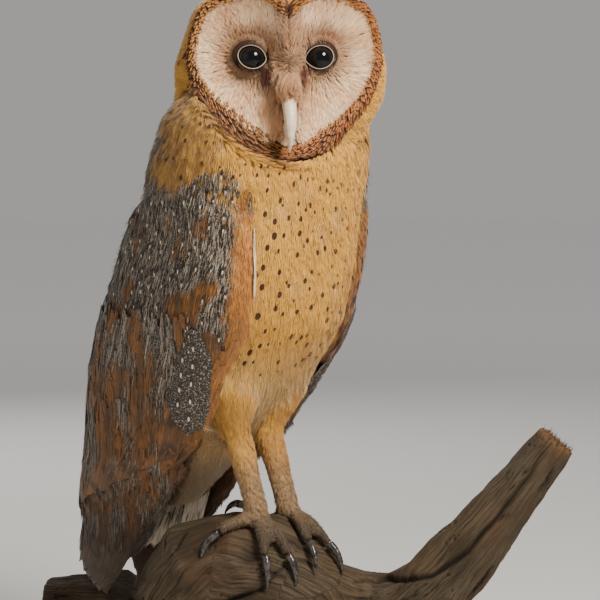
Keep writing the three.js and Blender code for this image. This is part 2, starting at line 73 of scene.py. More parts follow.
def moved(points, matrix):
    m = np.array(matrix)
    return points @ m[:3, :3].T + m[:3, 3]


def turned(vectors, matrix):
    return vectors @ np.array(matrix)[:3, :3].T


def to_bird(points):
    return moved(points, TO_ROW.inverted())


def to_head(points):
    return moved(points, HEAD_TO_ROW.inverted())


def unit(v):
    return v / np.maximum(np.linalg.norm(v, axis=-1, keepdims=True), 1e-9)


def dot(a, b):
    return (a * b).sum(-1, keepdims=True)


def along_surface(ways, normals, share=1.0):
    """Directions with a share of what points off the surface taken away."""
    return unit(ways - normals * dot(ways, normals) * share)


def ramp(x, low, high):
    """0 at low and 1 at high, smooth between, and level beyond them."""
    t = np.clip((x - low) / (high - low), 0, 1)
    return t * t * (3 - 2 * t)


def bump(*pairs):
    """1 in the middle of a hill and near 0 past its half sizes; each pair is (distance, half size)."""
    total = sum((distance / half) ** 2 for distance, half in pairs)
    return np.exp(-total)


def linear(r, g, b):
    """An sRGB colour, 0 to 255, as linear light."""
    c = np.array([r, g, b]) / 255
    return np.where(c <= 0.04045, c / 12.92, ((c + 0.055) / 1.055) ** 2.4)


def blend(a, b, t):
    t = np.asarray(t)[..., None]
    return a * (1 - t) + b * t


def columns(*values):
    """Values side by side as the columns of an array; a single number fills its column."""
    return np.stack(np.broadcast_arrays(*values), 1)


WAVES = 6
WAVE_TURN = 6.28


def wander(points, scale, seed):
    """A smooth field between about -1 and 1 over space: a few sine waves in seeded directions."""
    draw = np.random.default_rng(seed)
    total = np.zeros(len(points))
    for _ in range(WAVES):
        way = draw.normal(size=3)
        pace = draw.uniform(0.6, 1.5) * WAVE_TURN / scale
        total += np.sin(points @ (way / np.linalg.norm(way)) * pace + draw.uniform(0, WAVE_TURN))
    return total / 3


# ---------------------------------------------------------------- meshes
def make_object(name, points, faces, uv=None, colour=None, vectors=None, smooth=True):
    """points in mm; faces an (n, 3) or (n, 4) array; colour and vectors are one row per point."""
    mesh = bpy.data.meshes.new(name)
    sides = faces.shape[1]
    mesh.vertices.add(len(points))
    mesh.vertices.foreach_set("co", (points * MM).astype(np.float32).ravel())
    mesh.loops.add(faces.size)
    mesh.loops.foreach_set("vertex_index", faces.astype(np.int32).ravel())
    mesh.polygons.add(len(faces))
    mesh.polygons.foreach_set("loop_start", np.arange(0, faces.size, sides, dtype=np.int32))
    mesh.polygons.foreach_set("loop_total", np.full(len(faces), sides, dtype=np.int32))
    mesh.polygons.foreach_set("use_smooth", np.full(len(faces), smooth))
    mesh.update(calc_edges=True)
    if uv is not None:
        layer = mesh.uv_layers.new(name="OFBake")
        layer.data.foreach_set("uv", uv[faces.ravel()].astype(np.float32).ravel())
    if colour is not None:
        layer = mesh.attributes.new("Coat", "FLOAT_COLOR", "POINT")
        rgba = np.concatenate([np.clip(colour, 0, 1), np.ones((len(points), 1))], 1)
        layer.data.foreach_set("color", rgba.astype(np.float32).ravel())
    for key, values in (vectors or {}).items():
        layer = mesh.attributes.new(key, "FLOAT_VECTOR", "POINT")
        layer.data.foreach_set("vector", values.astype(np.float32).ravel())
    return linked(bpy.data.objects.new(name, mesh))


def linked(thing):
    bpy.context.collection.objects.link(thing)
    return thing


def dressed(piece, material, nodes=()):
    """Gives a piece its material, hangs it under the root body's empty and hides the CAD nodes that it stands
    in for.
    """
    piece.data.materials.append(material)
    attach(piece, "root")
    if nodes:
        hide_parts(*nodes)


def mesh_arrays(mesh):
    """A mesh's points in mm, and its triangles."""
    points = np.empty(len(mesh.vertices) * 3, dtype=np.float32)
    mesh.vertices.foreach_get("co", points)
    mesh.calc_loop_triangles()
    triangles = np.empty(len(mesh.loop_triangles) * 3, dtype=np.int32)
    mesh.loop_triangles.foreach_get("vertices", triangles)
    return points.reshape(-1, 3).astype(float) / MM, triangles.reshape(-1, 3)


def point_normals(mesh):
    normals = np.empty(len(mesh.vertices) * 3, dtype=np.float32)
    mesh.vertices.foreach_get("normal", normals)
    return normals.reshape(-1, 3).astype(float)


def tree_of(points, triangles):
    return BVHTree.FromPolygons(points.tolist(), triangles.tolist(), all_triangles=True)


def nearest(tree, points):
    """The nearest points of a tree's surface, with their normals and distances."""
    found = [tree.find_nearest(p) for p in points.tolist()]
    place = np.array([f[0] for f in found])
    normal = np.array([f[1] for f in found])
    return place, normal, np.array([f[3] for f in found])


def grid_faces(rows, across):
    """Triangles between neighbouring rows of a grid of points."""
    faces = []
    for r in range(rows - 1):
        for c in range(across - 1):
            a = r * across + c
            faces += [(a, a + 1, a + across + 1), (a, a + across + 1, a + across)]
    return np.array(faces)


def ring_faces(rings, around):
    """Quads between neighbouring rings of points."""
    faces = []
    for r in range(rings - 1):
        for k in range(around):
            a, b = r * around + k, r * around + (k + 1) % around
            faces.append((a, b, b + around, a + around))
    return np.array(faces)


# ---------------------------------------------------------------- materials
def opaque(value):
    """A colour with an alpha of 1; a socket or a number as it is."""
    if isinstance(value, (tuple, list, np.ndarray)):
        return (*[float(v) for v in value][:3], 1.0)
    return value


class Nodes:
    """A short way to build a node tree."""

    def __init__(self, name):
        self.material = bpy.data.materials.new(name)
        self.material.use_nodes = True
        self.tree = self.material.node_tree
        self.shader = self.tree.nodes["Principled BSDF"]

    def add(self, kind, inputs=None, **settings):
        node = self.tree.nodes.new("ShaderNode" + kind)
        for key, value in settings.items():
            setattr(node, key, value)
        for key, value in (inputs or {}).items():
            self.feed(node.inputs[key], value)
        return node

    def feed(self, socket, value):
        if isinstance(value, bpy.types.NodeSocket):
            self.tree.links.new(value, socket)
        else:
            socket.default_value = value

    def attribute(self, name, output="Vector"):
        return self.add("Attribute", attribute_name=name).outputs[output]

    def coat(self):
        return self.attribute("Coat", "Color")

    def split(self, vector):
        return self.add("SeparateXYZ", {0: vector}).outputs

    def math(self, operation, a, b=0.0, c=None):
        inputs = {0: a, 1: b}
        if c is not None:
            inputs[2] = c
        return self.add("Math", inputs, operation=operation).outputs[0]

    def times(self, a, b):
        return self.math("MULTIPLY", a, b)

    def plus(self, a, b):
        return self.math("ADD", a, b)

    def minus(self, a, b):
        return self.math("SUBTRACT", a, b)

    def scaled(self, a, by, then_add):
        return self.math("MULTIPLY_ADD", a, by, then_add)

    def size(self, a):
        return self.math("ABSOLUTE", a)

    def step(self, value, low, high):
        """0 below low and 1 above high, smooth between."""
        node = self.add("MapRange", {0: value, 1: low, 2: high}, interpolation_type="SMOOTHSTEP")
        return node.outputs[0]

    def mix(self, share, a, b, how="MIX"):
        node = self.add("Mix", data_type="RGBA", blend_type=how)
        for index, value in ((0, share), (6, a), (7, b)):
            self.feed(node.inputs[index], opaque(value))
        return node.outputs[2]

    def tint(self, colour, field, low, high):
        """A colour times low where a field is 0 and times high where it is 1."""
        return self.mix(1.0, colour, self.mix(field, low, high), "MULTIPLY")

    def noise(self, vector, scale, detail=2.0, rough=0.5):
        inputs = {"Vector": vector, "Scale": scale, "Detail": detail, "Roughness": rough}
        return self.add("TexNoise", inputs).outputs[0]

    def combine(self, x, y, z=0.0):
        return self.add("CombineXYZ", {0: x, 1: y, 2: z}).outputs[0]

    def position(self):
        return self.add("TexCoord").outputs["Object"]

    def finish(self, colour, roughness=0.7, height=None, strength=0.3, distance=0.0004, **sockets):
        self.feed(self.shader.inputs["Base Color"], opaque(colour))
        self.feed(self.shader.inputs["Roughness"], roughness)
        if height is not None:
            node = self.add("Bump", {"Height": height, "Strength": strength, "Distance": distance})
            self.feed(self.shader.inputs["Normal"], node.outputs[0])
        for key, value in sockets.items():
            self.shader.inputs[key.replace("_", " ")].default_value = value
        return self.material


# ---------------------------------------------------------------- colours of the coat
GOLD = linear(224, 172, 76)
GOLD_DEEP = linear(200, 142, 60)
BELLY = linear(202, 172, 126)
VENT = linear(176, 154, 122)
GREY = linear(124, 112, 100)
PEPPER_PALE = linear(172, 160, 144)
PEPPER_DARK = linear(47, 39, 32)
PEPPER_SCALE = 1150.0
DISC_CREAM = linear(246, 216, 178)
DISC_PINK = linear(224, 172, 128)
DISC_SHADE = linear(150, 102, 68)
BROW_BROWN = linear(140, 84, 46)
LORES_BROWN = linear(160, 104, 62)
EYE_RUST = linear(84, 40, 24)
LEG_GOLD = linear(156, 128, 94)
TOE_GREY = linear(88, 74, 58)
DROP_WHITE = linear(226, 219, 206)
SPOT_BROWN = linear(70, 42, 24)


def peppered(bird):
    """How far the gold gives way to the fine grey pepper of the mantle, at points of the bird's frame."""
    behind = ramp(bird[:, 1] - 0.12 * (bird[:, 2] - 230), 6, 36) * ramp(bird[:, 2], 172, 205)
    return np.clip(behind * (0.85 + 0.3 * wander(bird, 20, 9)), 0, 1)


def body_colour(bird):
    """Ground colour of the body plumage at points of the bird's frame."""
    y, z = bird[:, 1], bird[:, 2]
    patch = wander(bird, 55, 3)
    fine = wander(bird, 14, 4)
    base = blend(GOLD, GOLD_DEEP, np.clip(0.35 + 0.4 * patch, 0, 1))
    pale = ramp(z, 222, 170) * 0.8 + 0.25 * ramp(fine, 0.2, 1.0)
    base = blend(base, BELLY, np.clip(pale, 0, 1))
    grey = blend(GOLD_DEEP, GREY, np.clip(0.62 + 0.35 * fine, 0, 1))
    base = blend(base, grey, peppered(bird) * 0.85)
    return blend(base, VENT, ramp(z, 180, 150) * ramp(y, 22, 40) * 0.9)


def head_pepper(head):
    """How far grey pepper hides the gold behind the crown and on the nape, at points of the head's frame."""
    fine = wander(head, 9, 8)
    return ramp(head[:, 1], -8, 22) * np.clip(0.55 + 0.5 * fine, 0, 1) * ramp(head[:, 2], -45, -5)


def head_colour(head):
    """Ground colour of the crown, nape and sides of the head at points of the head's frame."""
    fine = wander(head, 9, 8)
    base = blend(GOLD, GOLD_DEEP, np.clip(0.4 + 0.4 * fine, 0, 1))
    return blend(base, GREY, head_pepper(head) * 0.8)


# The dark inner corners of the eyes in the plane of the face, in mm.
EYE_CORNERS = [(-12.5, -1.5), (9.2, -1.0)]


def disc_colour(head):
    """Colour of the facial disc at points of the head's frame."""
    u, v = head[:, 0], head[:, 2]
    off_middle = np.abs(u)
    base = blend(DISC_CREAM, DISC_PINK, np.clip(0.35 + 0.4 * wander(head, 12, 5), 0, 1))
    ridge = bump((u, 8.0)) * ramp(v, -30, -6)
    base = blend(base, DISC_SHADE, np.clip(ridge, 0, 1) * 0.8)
    to_eye = np.hypot(off_middle - EYE_SPREAD, v - EYE_RISE)
    base = blend(base, DISC_SHADE, ramp(to_eye, 20, 9.5) * 0.6)
    brow = bump((off_middle - EYE_SPREAD - 4, 9), (v - EYE_RISE - 10, 4.5))
    base = blend(base, BROW_BROWN, np.clip(brow, 0, 1) * 0.75)
    for corner_x, corner_z in EYE_CORNERS:
        corner = bump((u - corner_x, 3.4), (v - corner_z, 6.0))
        base = blend(base, EYE_RUST, np.clip(corner * 1.3, 0, 1))
    lores = bump((off_middle - 6.5, 3.0), (v + 14, 10.0))
    return blend(base, LORES_BROWN, np.clip(lores, 0, 1) * 0.7)


# ---------------------------------------------------------------- the outer surface of the flesh
FLESH = [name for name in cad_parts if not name.startswith(("eye", "bill", "claw", "driftwood"))]
SKIN_VOXEL = 2.0
CLOSE_GAPS = 0.35
node_points = {name: mesh_arrays(node.data) for name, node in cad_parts.items()}


def grown(points, triangles, by):
    """A closed mesh moved outwards by some mm, with its doubled points joined."""
    merged, back = np.unique(points.round(4), axis=0, return_inverse=True)
    triangles = back.reshape(-1)[triangles]
    corner = merged[triangles]
    face_normal = np.cross(corner[:, 1] - corner[:, 0], corner[:, 2] - corner[:, 0])
    normal = np.zeros_like(merged)
    for k in range(3):
        np.add.at(normal, triangles[:, k], face_normal)
    return merged + unit(normal) * by, triangles


def remeshed(name, names, voxel, smoothing, grow=CLOSE_GAPS):
    """One closed mesh round some CAD nodes, with the gaps between them closed."""
    all_points, all_triangles, first = [], [], 0
    for key in names:
        points, triangles = grown(*node_points[key], grow)
        all_points.append(points)
        all_triangles.append(triangles + first)
        first += len(points)
    source = make_object(name + "_source", np.concatenate(all_points), np.concatenate(all_triangles))
    remesh = source.modifiers.new("one", "REMESH")
    remesh.mode = "VOXEL"
    remesh.voxel_size = voxel * MM
    smooth = source.modifiers.new("even", "SMOOTH")
    smooth.factor = 0.6
    smooth.iterations = smoothing
    evaluated = source.evaluated_get(bpy.context.evaluated_depsgraph_get())
    mesh = bpy.data.meshes.new_from_object(evaluated)
    bpy.data.objects.remove(source)
    return mesh


outer_mesh = remeshed("outer", FLESH, SKIN_VOXEL, 7)
outer, outer_triangles = mesh_arrays(outer_mesh)
outer_normal = point_normals(outer_mesh)
outer_tree = tree_of(outer, outer_triangles)
quads = np.empty(len(outer_mesh.polygons) * 4, dtype=np.int32)
outer_mesh.polygons.foreach_get("vertices", quads)
quads = quads.reshape(-1, 4)


def kinds_of_points():
    """The kind of CAD node nearest to each point of the outer surface, such as wing or thigh."""
    away = np.full(len(outer), 1e9)
    owner = np.zeros(len(outer), dtype=int)
    for index, name in enumerate(FLESH):
        points = node_points[name][0]
        low, high = points.min(0) - 3, points.max(0) + 3
        close = np.nonzero(((outer > low) & (outer < high)).all(1))[0]
        distance = nearest(tree_of(*node_points[name]), outer[close])[2]
        better = distance < away[close]
        away[close[better]] = distance[better]
        owner[close[better]] = index
    return np.array([name.split("_")[0] for name in FLESH])[owner]


def first_hits(starts, ways, reach):
    """Where rays first meet the outer surface: places, normals, faces, distances, and which rays meet it."""
    missed = ((0, 0, 0), (0, 0, 1), 0, reach)
    hits = [outer_tree.ray_cast(start, way, reach) for start, way in zip(starts.tolist(), ways.tolist())]
    met = np.array([hit[0] is not None for hit in hits])
    hits = [hit if hit[0] is not None else missed for hit in hits]
    places, normals = (np.array([hit[k] for hit in hits], dtype=float) for k in range(2))
    return places, normals, np.array([hit[2] for hit in hits]), np.array([hit[3] for hit in hits]), met


# How deep the skin lies under the coat, for each kind of node.
DEPTH = {"head": 3.6, "facial": 1.8, "neck": 5.5, "trunk": 5.5, "wing": 3.0, "primaries": 0.8, "tail": 0.8,
         "thigh": 3.5, "shank": 1.5, "foot": 0.4}
DEEPEST_SHARE = 0.36
THICKEST = 30
WIDEST_ROOM = 14
kind = kinds_of_points()
thickness = first_hits(outer - outer_normal * 0.2, -outer_normal, THICKEST)[3]
room = first_hits(outer + outer_normal * 0.6, outer_normal, WIDEST_ROOM)[3]
edges = np.concatenate([quads[:, [0, 1]], quads[:, [1, 2]], quads[:, [2, 3]], quads[:, [3, 0]]])


def evened(values, rounds):
    """Values of the outer mesh's points, averaged with their neighbours'."""
    count = np.bincount(edges[:, 0], minlength=len(outer)) + np.bincount(edges[:, 1], minlength=len(outer))
    for _ in range(rounds):
        total = np.bincount(edges[:, 0], values[edges[:, 1]], len(outer))
        total += np.bincount(edges[:, 1], values[edges[:, 0]], len(outer))
        values = 0.5 * values + 0.5 * total / np.maximum(count, 1)
    return values


depth = evened(np.minimum(np.array([DEPTH[k] for k in kind]), DEEPEST_SHARE * thickness), 8)
in_bird = to_bird(outer)
in_head = to_head(outer)
quad_room = room[quads].min(1)
quad_kind = kind[quads[:, 0]]
quad_bird = in_bird[quads].mean(1)
quad_head = in_head[quads].mean(1)

# The line through the middle of the body's level sections: height, then how far back.
SPINE_Z = [43, 60, 92, 113, 140, 167, 194, 221, 248, 275, 300, 330, 360, 420]
SPINE_Y = [138, 130, 106, 92, 72, 57, 43, 31, 22, 14, 7, -3, -9, -11]


def spine(z):
    return np.interp(z, SPINE_Z, SPINE_Y)


def body_angle(bird):
    """Turn round the body from straight ahead, in degrees, positive on the bird's left."""
    return np.degrees(np.arctan2(bird[:, 0], spine(bird[:, 2]) - bird[:, 1]))


def disc_polar(head):
    """Degrees from the disc's top and how far outside its edge a point lies."""
    turn = np.degrees(np.abs(np.arctan2(head[:, 0], head[:, 2])))
    radius = np.hypot(head[:, 0], head[:, 2])
    return turn, radius - np.interp(turn, DISC_DEGREES, DISC_EDGE)


# ---------------------------------------------------------------- how the coat lies
def lie_of(points, normals, kinds):
    """The way feathers point at places of the surface, as unit vectors along it."""
    bird = to_bird(points)
    head = to_head(points)
    lower = ramp(bird[:, 2], 300, 200)[:, None]
    slanted = np.tile([0.0, 0.3, -0.95], (len(points), 1)) * (0.45 + 0.55 * lower)
    way = turned(slanted + np.array([0, 0, -1]) * (1 - lower), TO_ROW)
    back = np.clip(head[:, 1], -30, 40) / 40
    over = columns(head[:, 0] / 60, 1.1 - 0.6 * back, head[:, 2] / 70 - 0.35 - 0.9 * np.clip(back, 0, 1))
    way = np.where((kinds == "head")[:, None], turned(over, HEAD_TO_ROW), way)
    legs = np.isin(kinds, ["thigh", "shank"])[:, None]
    way = np.where(legs, np.array([0.0, 0.0, -1.0]), way)
    swirl = wander(points, 40, 21) * 0.16
    return along_surface(way + np.cross(normals, way) * swirl[:, None], normals)


def swung(ways, normals, degrees):
    """Directions turned about the normals."""
    turn = np.radians(degrees)[:, None]
    return unit(ways * np.cos(turn) + np.cross(normals, ways) * np.sin(turn))


# ---------------------------------------------------------------- feathers
FINGER_POINTS = 5


def plume_shape(seed, fingers, spread=1.0, fullness=0.62):
    """A soft tuft: thin tapering strips that fan out from one root. Columns are across, along and up."""
    draw = np.random.default_rng(seed)
    points, faces = [], []
    for k in np.linspace(-1, 1, fingers):
        sway = draw.uniform(-0.16, 0.16)
        tip = 1 - 0.2 * k * k - draw.uniform(0, 0.16)
        half = fullness / fingers * draw.uniform(0.8, 1.3)
        a = len(points)
        points += [(0.2 * k - half * 0.7, 0.0, 0.0), (0.2 * k + half * 0.7, 0.0, 0.0)]
        middle = 0.72 * k * spread + 0.4 * sway
        lift = draw.uniform(-0.03, 0.03)
        points += [(middle - half, 0.52, lift - 0.05 * k * k), (middle + half, 0.52, lift - 0.05 * k * k)]
        points += [(0.96 * k * spread + sway, tip, lift - 0.12 * k * k)]
        faces += [(a, a + 1, a + 3), (a, a + 3, a + 2), (a + 2, a + 3, a + 4)]
    return np.array(points), np.array(faces)


def vane_shape(seed, rows=5, across=2, point=0.3, ragged=0.08, cup=0.3):
    """One small stiff feather: rows along it, cupped, with a slightly ragged tip."""
    draw = np.random.default_rng(seed)
    points = []
    for r in range(rows + 1):
        along = r / rows
        half = math.sin(math.pi * min(0.08 + 0.62 * along ** 0.8, 0.5 + 0.5 * along)) ** 0.7
        half *= 1 - max(0.0, (along - 0.72) / 0.28) ** 2.2 * (1 - 0.45 * (1 - point))
        for c in range(across + 1):
            side = 2 * c / across - 1
            reach_out = along * (1 - 0.12 * side ** 2) + (draw.uniform(-ragged, ragged) if r == rows else 0)
            points.append((side * half, reach_out, -cup * side ** 2 * half))
    return np.array(points), grid_faces(rows + 1, across + 1)


def lay(places, normals, ways, length, width, sunk, lift, shape, sag=0.35, twist=0.0):
    """Feathers of one shape: points, faces, each point's (across, along) and its feather's number.

    sunk is how far the roots lie under the surface, and lift how far the tips stand above it. Each feather
    bends along a curve through its root, a middle and its tip."""
    count = len(places)
    template, faces = shape
    middle, middle_normal, _ = nearest(outer_tree, places + ways * length[:, None] * 0.5)
    tip, tip_normal, _ = nearest(outer_tree, places + ways * length[:, None])
    c0 = places - normals * sunk[:, None]
    c1 = middle - middle_normal * (sag * sunk)[:, None] + middle_normal * (0.35 * lift)[:, None]
    c2 = tip + tip_normal * lift[:, None]
    chord = unit(c2 - c0)
    up = unit(middle_normal + normals)
    across = unit(np.cross(up, chord))
    up = np.cross(chord, across)
    lean = np.asarray(twist)
    if lean.ndim:
        across = across * np.cos(lean)[:, None] + up * np.sin(lean)[:, None]
        up = np.cross(chord, across)
    t = template[:, 1]
    weights = (1 - t) * (1 - 2 * t), 4 * t * (1 - t), t * (2 * t - 1)
    w0, w1, w2 = (w[None, :, None] for w in weights)
    centre = c0[:, None] * w0 + c1[:, None] * w1 + c2[:, None] * w2
    points = centre + across[:, None] * (template[None, :, 0, None] * width[:, None, None] * 0.5)
    points = points + up[:, None] * (template[None, :, 2, None] * width[:, None, None])
    size = len(template)
    all_faces = (faces[None] + (np.arange(count) * size)[:, None, None]).reshape(-1, faces.shape[1])
    own = np.tile(template[:, :2], (count, 1))
    return points.reshape(-1, 3), all_faces, own, np.repeat(np.arange(count), size)


class Coat:
    """Feathers gathered for one named piece."""

    def __init__(self, name):
        self.name = name
        self.parts = []
        self.first = 0

    def add(self, points, faces, uv, colour, vectors):
        self.parts.append((points, faces + self.first, uv, colour, vectors))
        self.first += len(points)

    def grow(self, draw, shapes, roots, length, width, sunk, lift, dress, lean=0.0, sag=0.35):
        """Lays a feather at each root (place, normal, way), each of a shape drawn from the list.

        dress gets the laid feathers' own numbers, the points, their (across, along), the feathers' numbers
        point by point and the shape; it gives the points' colours and vectors."""
        which = draw.integers(0, len(shapes), len(length)) if len(shapes) > 1 else np.zeros(len(length))
        for index, shape in enumerate(shapes):
            mine = np.nonzero(which == index)[0]
            twist = draw.normal(0, lean, len(mine)) if lean else 0.0
            places, normals, ways = (values[mine] for values in roots)
            points, faces, own, number = lay(places, normals, ways, length[mine], width[mine], sunk[mine],
                                             lift[mine], shape, sag, twist)
            colour, vectors = dress(mine, points, own, number, shape)
            self.add(points, faces, bake_map(places, own, number), colour, vectors)

    def build(self, material, slot):
        points, faces, uv, colour = (np.concatenate([p[k] for p in self.parts]) for k in range(4))
        vectors = {key: np.concatenate([p[4][key] for p in self.parts]) for key in self.parts[0][4]}
        dressed(make_object(self.name, points, faces, uv, colour, vectors), material)
        print(self.name, len(faces), "triangles")


def vane(own, number, chance):
    """Across and along a feather, and a number of the feather's own between 0 and 1."""
    return columns(own[:, 0], own[:, 1], chance[number])


PATCH = 0.003
LEG_SPREAD = 14
LEG_FORWARD = 8
LEG_TOP = 150
LEG_BEHIND = 45
FULL_TURN = 6.2832


def unwrap(points):
    """An unwrap of the skin's own shape: the body rolled out round its spine, the legs and toes below it."""
    bird = to_bird(points)
    u = body_angle(bird) / 360 + 0.5
    v = 0.3 + 0.68 * (bird[:, 2] - 40) / 380
    low = (bird[:, 2] < LEG_TOP) & (bird[:, 1] < LEG_BEHIND)
    leg = np.sign(bird[:, 0])
    turn = np.arctan2(bird[:, 0] - leg * LEG_SPREAD, -(bird[:, 1] - LEG_FORWARD)) / FULL_TURN
    u = np.where(low, 0.25 + 0.5 * (leg > 0) + 0.4 * turn, u)
    v = np.where(low, 0.02 + 0.26 * (bird[:, 2] - 70) / 80, v)
    return np.clip(columns(u, v), 0.004, 0.99)


def bake_map(roots, own, number):
    """Each feather as a small patch at its root's place on the unwrap."""
    return unwrap(roots)[number] + (own * [0.5, 1.0] + [0, -0.5]) * PATCH


BODY_RADIUS = 58


def spot_sheet(points):
    """Points of the bird's frame, and how many mm round the body they lie, as a sheet for markings."""
    bird = to_bird(points)
    return bird, np.radians(body_angle(bird)) * BODY_RADIUS


def scatter(chosen, spacing, draw):
    """Places on the chosen quads, about one for each spacing squared: points, normals, kinds, skin depths."""
    corner = outer[quads[chosen]]
    area = np.linalg.norm(np.cross(corner[:, 2] - corner[:, 0], corner[:, 3] - corner[:, 1]), axis=1) / 2
    want = area / spacing ** 2
    count = np.floor(want + draw.uniform(0, 1, len(want))).astype(int)
    face = np.repeat(chosen, count)
    s, t = draw.uniform(0, 1, (2, len(face), 1))
    weights = np.concatenate([(1 - s) * (1 - t), s * (1 - t), s * t, (1 - s) * t], 1)

    def mixed(values):
        return (values[quads[face]] * weights[:, :, None]).sum(1)

    return mixed(outer), unit(mixed(outer_normal)), quad_kind[face], mixed(depth[:, None])[:, 0]
# ---------------------------------------------------------------- skin
WING_SKIN = linear(92, 72, 52)
SCALE_SIZE = 1.5


def leg_colour(bird):
    """Thighs of the body's gold that turn to grey-brown on the toes, at points of the bird's frame."""
    z = bird[:, 2]
    base = blend(TOE_GREY, LEG_GOLD, ramp(z, 98, 122))
    return blend(base, blend(GOLD_DEEP, GOLD, 0.4 + 0.3 * wander(bird, 20, 6)), ramp(z, 124, 166) * 0.9)


def skin_colour():
    """The coat's own colours, darker, over the whole outer surface."""
    colour = body_colour(in_bird) * 0.62
    colour = np.where((kind == "head")[:, None], head_colour(in_head) * 0.6, colour)
    colour = np.where((kind == "facial")[:, None], disc_colour(in_head) * 0.75, colour)
    legs = np.isin(kind, ["thigh", "shank", "foot"])[:, None]
    colour = np.where(legs, leg_colour(in_bird) * 0.75, colour)
    wings = np.isin(kind, ["wing", "primaries", "tail"])[:, None]
    return np.where(wings, WING_SKIN * 0.8, colour)


def skin_material():
    n = Nodes("skin")
    place = n.position()
    folds = n.noise(place, 900.0, 4, 0.6)
    scales = n.add("TexVoronoi", {"Vector": place, "Scale": 1000 / SCALE_SIZE}, feature="DISTANCE_TO_EDGE")
    plate = n.step(scales.outputs["Distance"], 0.0, 0.16)
    colour = n.tint(n.coat(), folds, (0.7, 0.68, 0.66), (1.2, 1.18, 1.16))
    colour = n.tint(colour, plate, (0.62, 0.6, 0.58), (1, 1, 1))
    height = n.plus(n.times(folds, 0.5), plate)
    return n.finish(colour, 0.66, height, 0.6, 0.0004, Specular_IOR_Level=0.35)


skin = make_object("skin", outer - outer_normal * depth[:, None], quads, colour=skin_colour())
dressed(skin, skin_material(), FLESH)


# ---------------------------------------------------------------- body plumage
SHAPES = [plume_shape(seed, 6) for seed in range(31, 36)]
FINE_SHAPES = [plume_shape(seed, 4, 0.8) for seed in range(41, 45)]
SALT_SHARE = 0.42


def strands(draw, count, shape, spread):
    """A brightness for each strip of each tuft, and each point's strip."""
    shades = draw.normal(1, spread, (count, len(shape[0]) // FINGER_POINTS + 1))
    return shades, np.tile(np.arange(len(shape[0])) // FINGER_POINTS, count)


def plumage(coat, chosen, spacing, size, colour_of, seed, shapes=SHAPES, lift=0.1, spots=0.0, deep=0.9,
            fray=10):
    """Soft feathers over the chosen quads, a share deep of the skin's depth under them and frayed by degrees.

    size gives (length, width) at places of the bird's frame. colour_of gives the ground colour and how far
    the grey pepper hides it: there each strip of a tuft is pale or dark by chance. lift and spots are numbers
    or functions of places in the bird's frame; a function for lift raises the roots as well."""
    draw = np.random.default_rng(seed)
    places, normals, kinds, sunk = scatter(np.nonzero(chosen)[0], spacing, draw)
    ways = swung(lie_of(places, normals, kinds), normals, draw.normal(0, fray, len(places)))
    bird = to_bird(places)
    length, width = size(bird)
    length = length * draw.uniform(0.8, 1.2, len(places))
    width = width * draw.uniform(0.8, 1.2, len(places))
    rise = lift(bird) if callable(lift) else np.full(len(places), lift)
    rise = rise + draw.normal(0, 0.22, len(places)) + 0.25 * wander(places, 16, seed)
    under = rise * -0.8 if callable(lift) else sunk * deep
    tone, pepper = colour_of(places)

    def dress(mine, points, own, number, shape):
        shades, finger = strands(draw, len(mine), shape, 0.09)
        # painted shade: each strip is darker towards its tuft's root, where the tufts cover one another;
        # shades gives each strip a brightness of its own
        shade = (0.62 + 0.42 * own[:, 1]) * shades[number, finger]
        salt = draw.uniform(0, 1, shades.shape) < SALT_SHARE
        speckle = np.where(salt[number, finger][:, None], PEPPER_PALE, PEPPER_DARK)
        grey = pepper[mine][number]
        colour = blend(tone[mine][number], speckle, grey) * np.clip(shade, 0.3, 1.3)[:, None]
        sheet, around = spot_sheet(points)
        return colour, {
            "Lie": columns(around, sheet[:, 2], spots(sheet) if callable(spots) else spots),
            "Vane": vane(own, number, draw.uniform(0, 1, len(mine))),
            "Mark": columns(grey, grey, grey),
        }

    coat.grow(draw, shapes, (places, normals, ways), length, width, under, rise, dress, lean=0.18)


def by_height(heights, lengths, width_heights, widths):
    """A size of feathers that depends on the height in the bird's frame."""

    def size(bird):
        return np.interp(bird[:, 2], heights, lengths), np.interp(bird[:, 2], width_heights, widths)

    return size


TRUNK_Z = [110, 150, 200, 300, 340]
trunk_size = by_height(TRUNK_Z, [13, 17, 17, 14, 12], TRUNK_Z, [5.5, 6.5, 6, 5, 4.5])


def spot_mask(bird):
    """Where the dark spots are: breast and flanks, more of them beside the right wing, none on the throat."""
    turn = body_angle(bird)
    z = bird[:, 2]
    spread = ramp(z, 172, 205) * ramp(z, 322, 296) * ramp(np.abs(turn), 104, 84)
    beside_wing = bump((turn + 31, 7)) * ramp(z, 196, 215) * ramp(z, 285, 268)
    return spread * 0.95 + 0.75 * beside_wing


def body_tone(places):
    bird = to_bird(places)
    return body_colour(bird), peppered(bird)


def head_tone(places):
    head = to_head(places)
    return head_colour(head), head_pepper(head)


SPOTS_PER_MM = 0.122


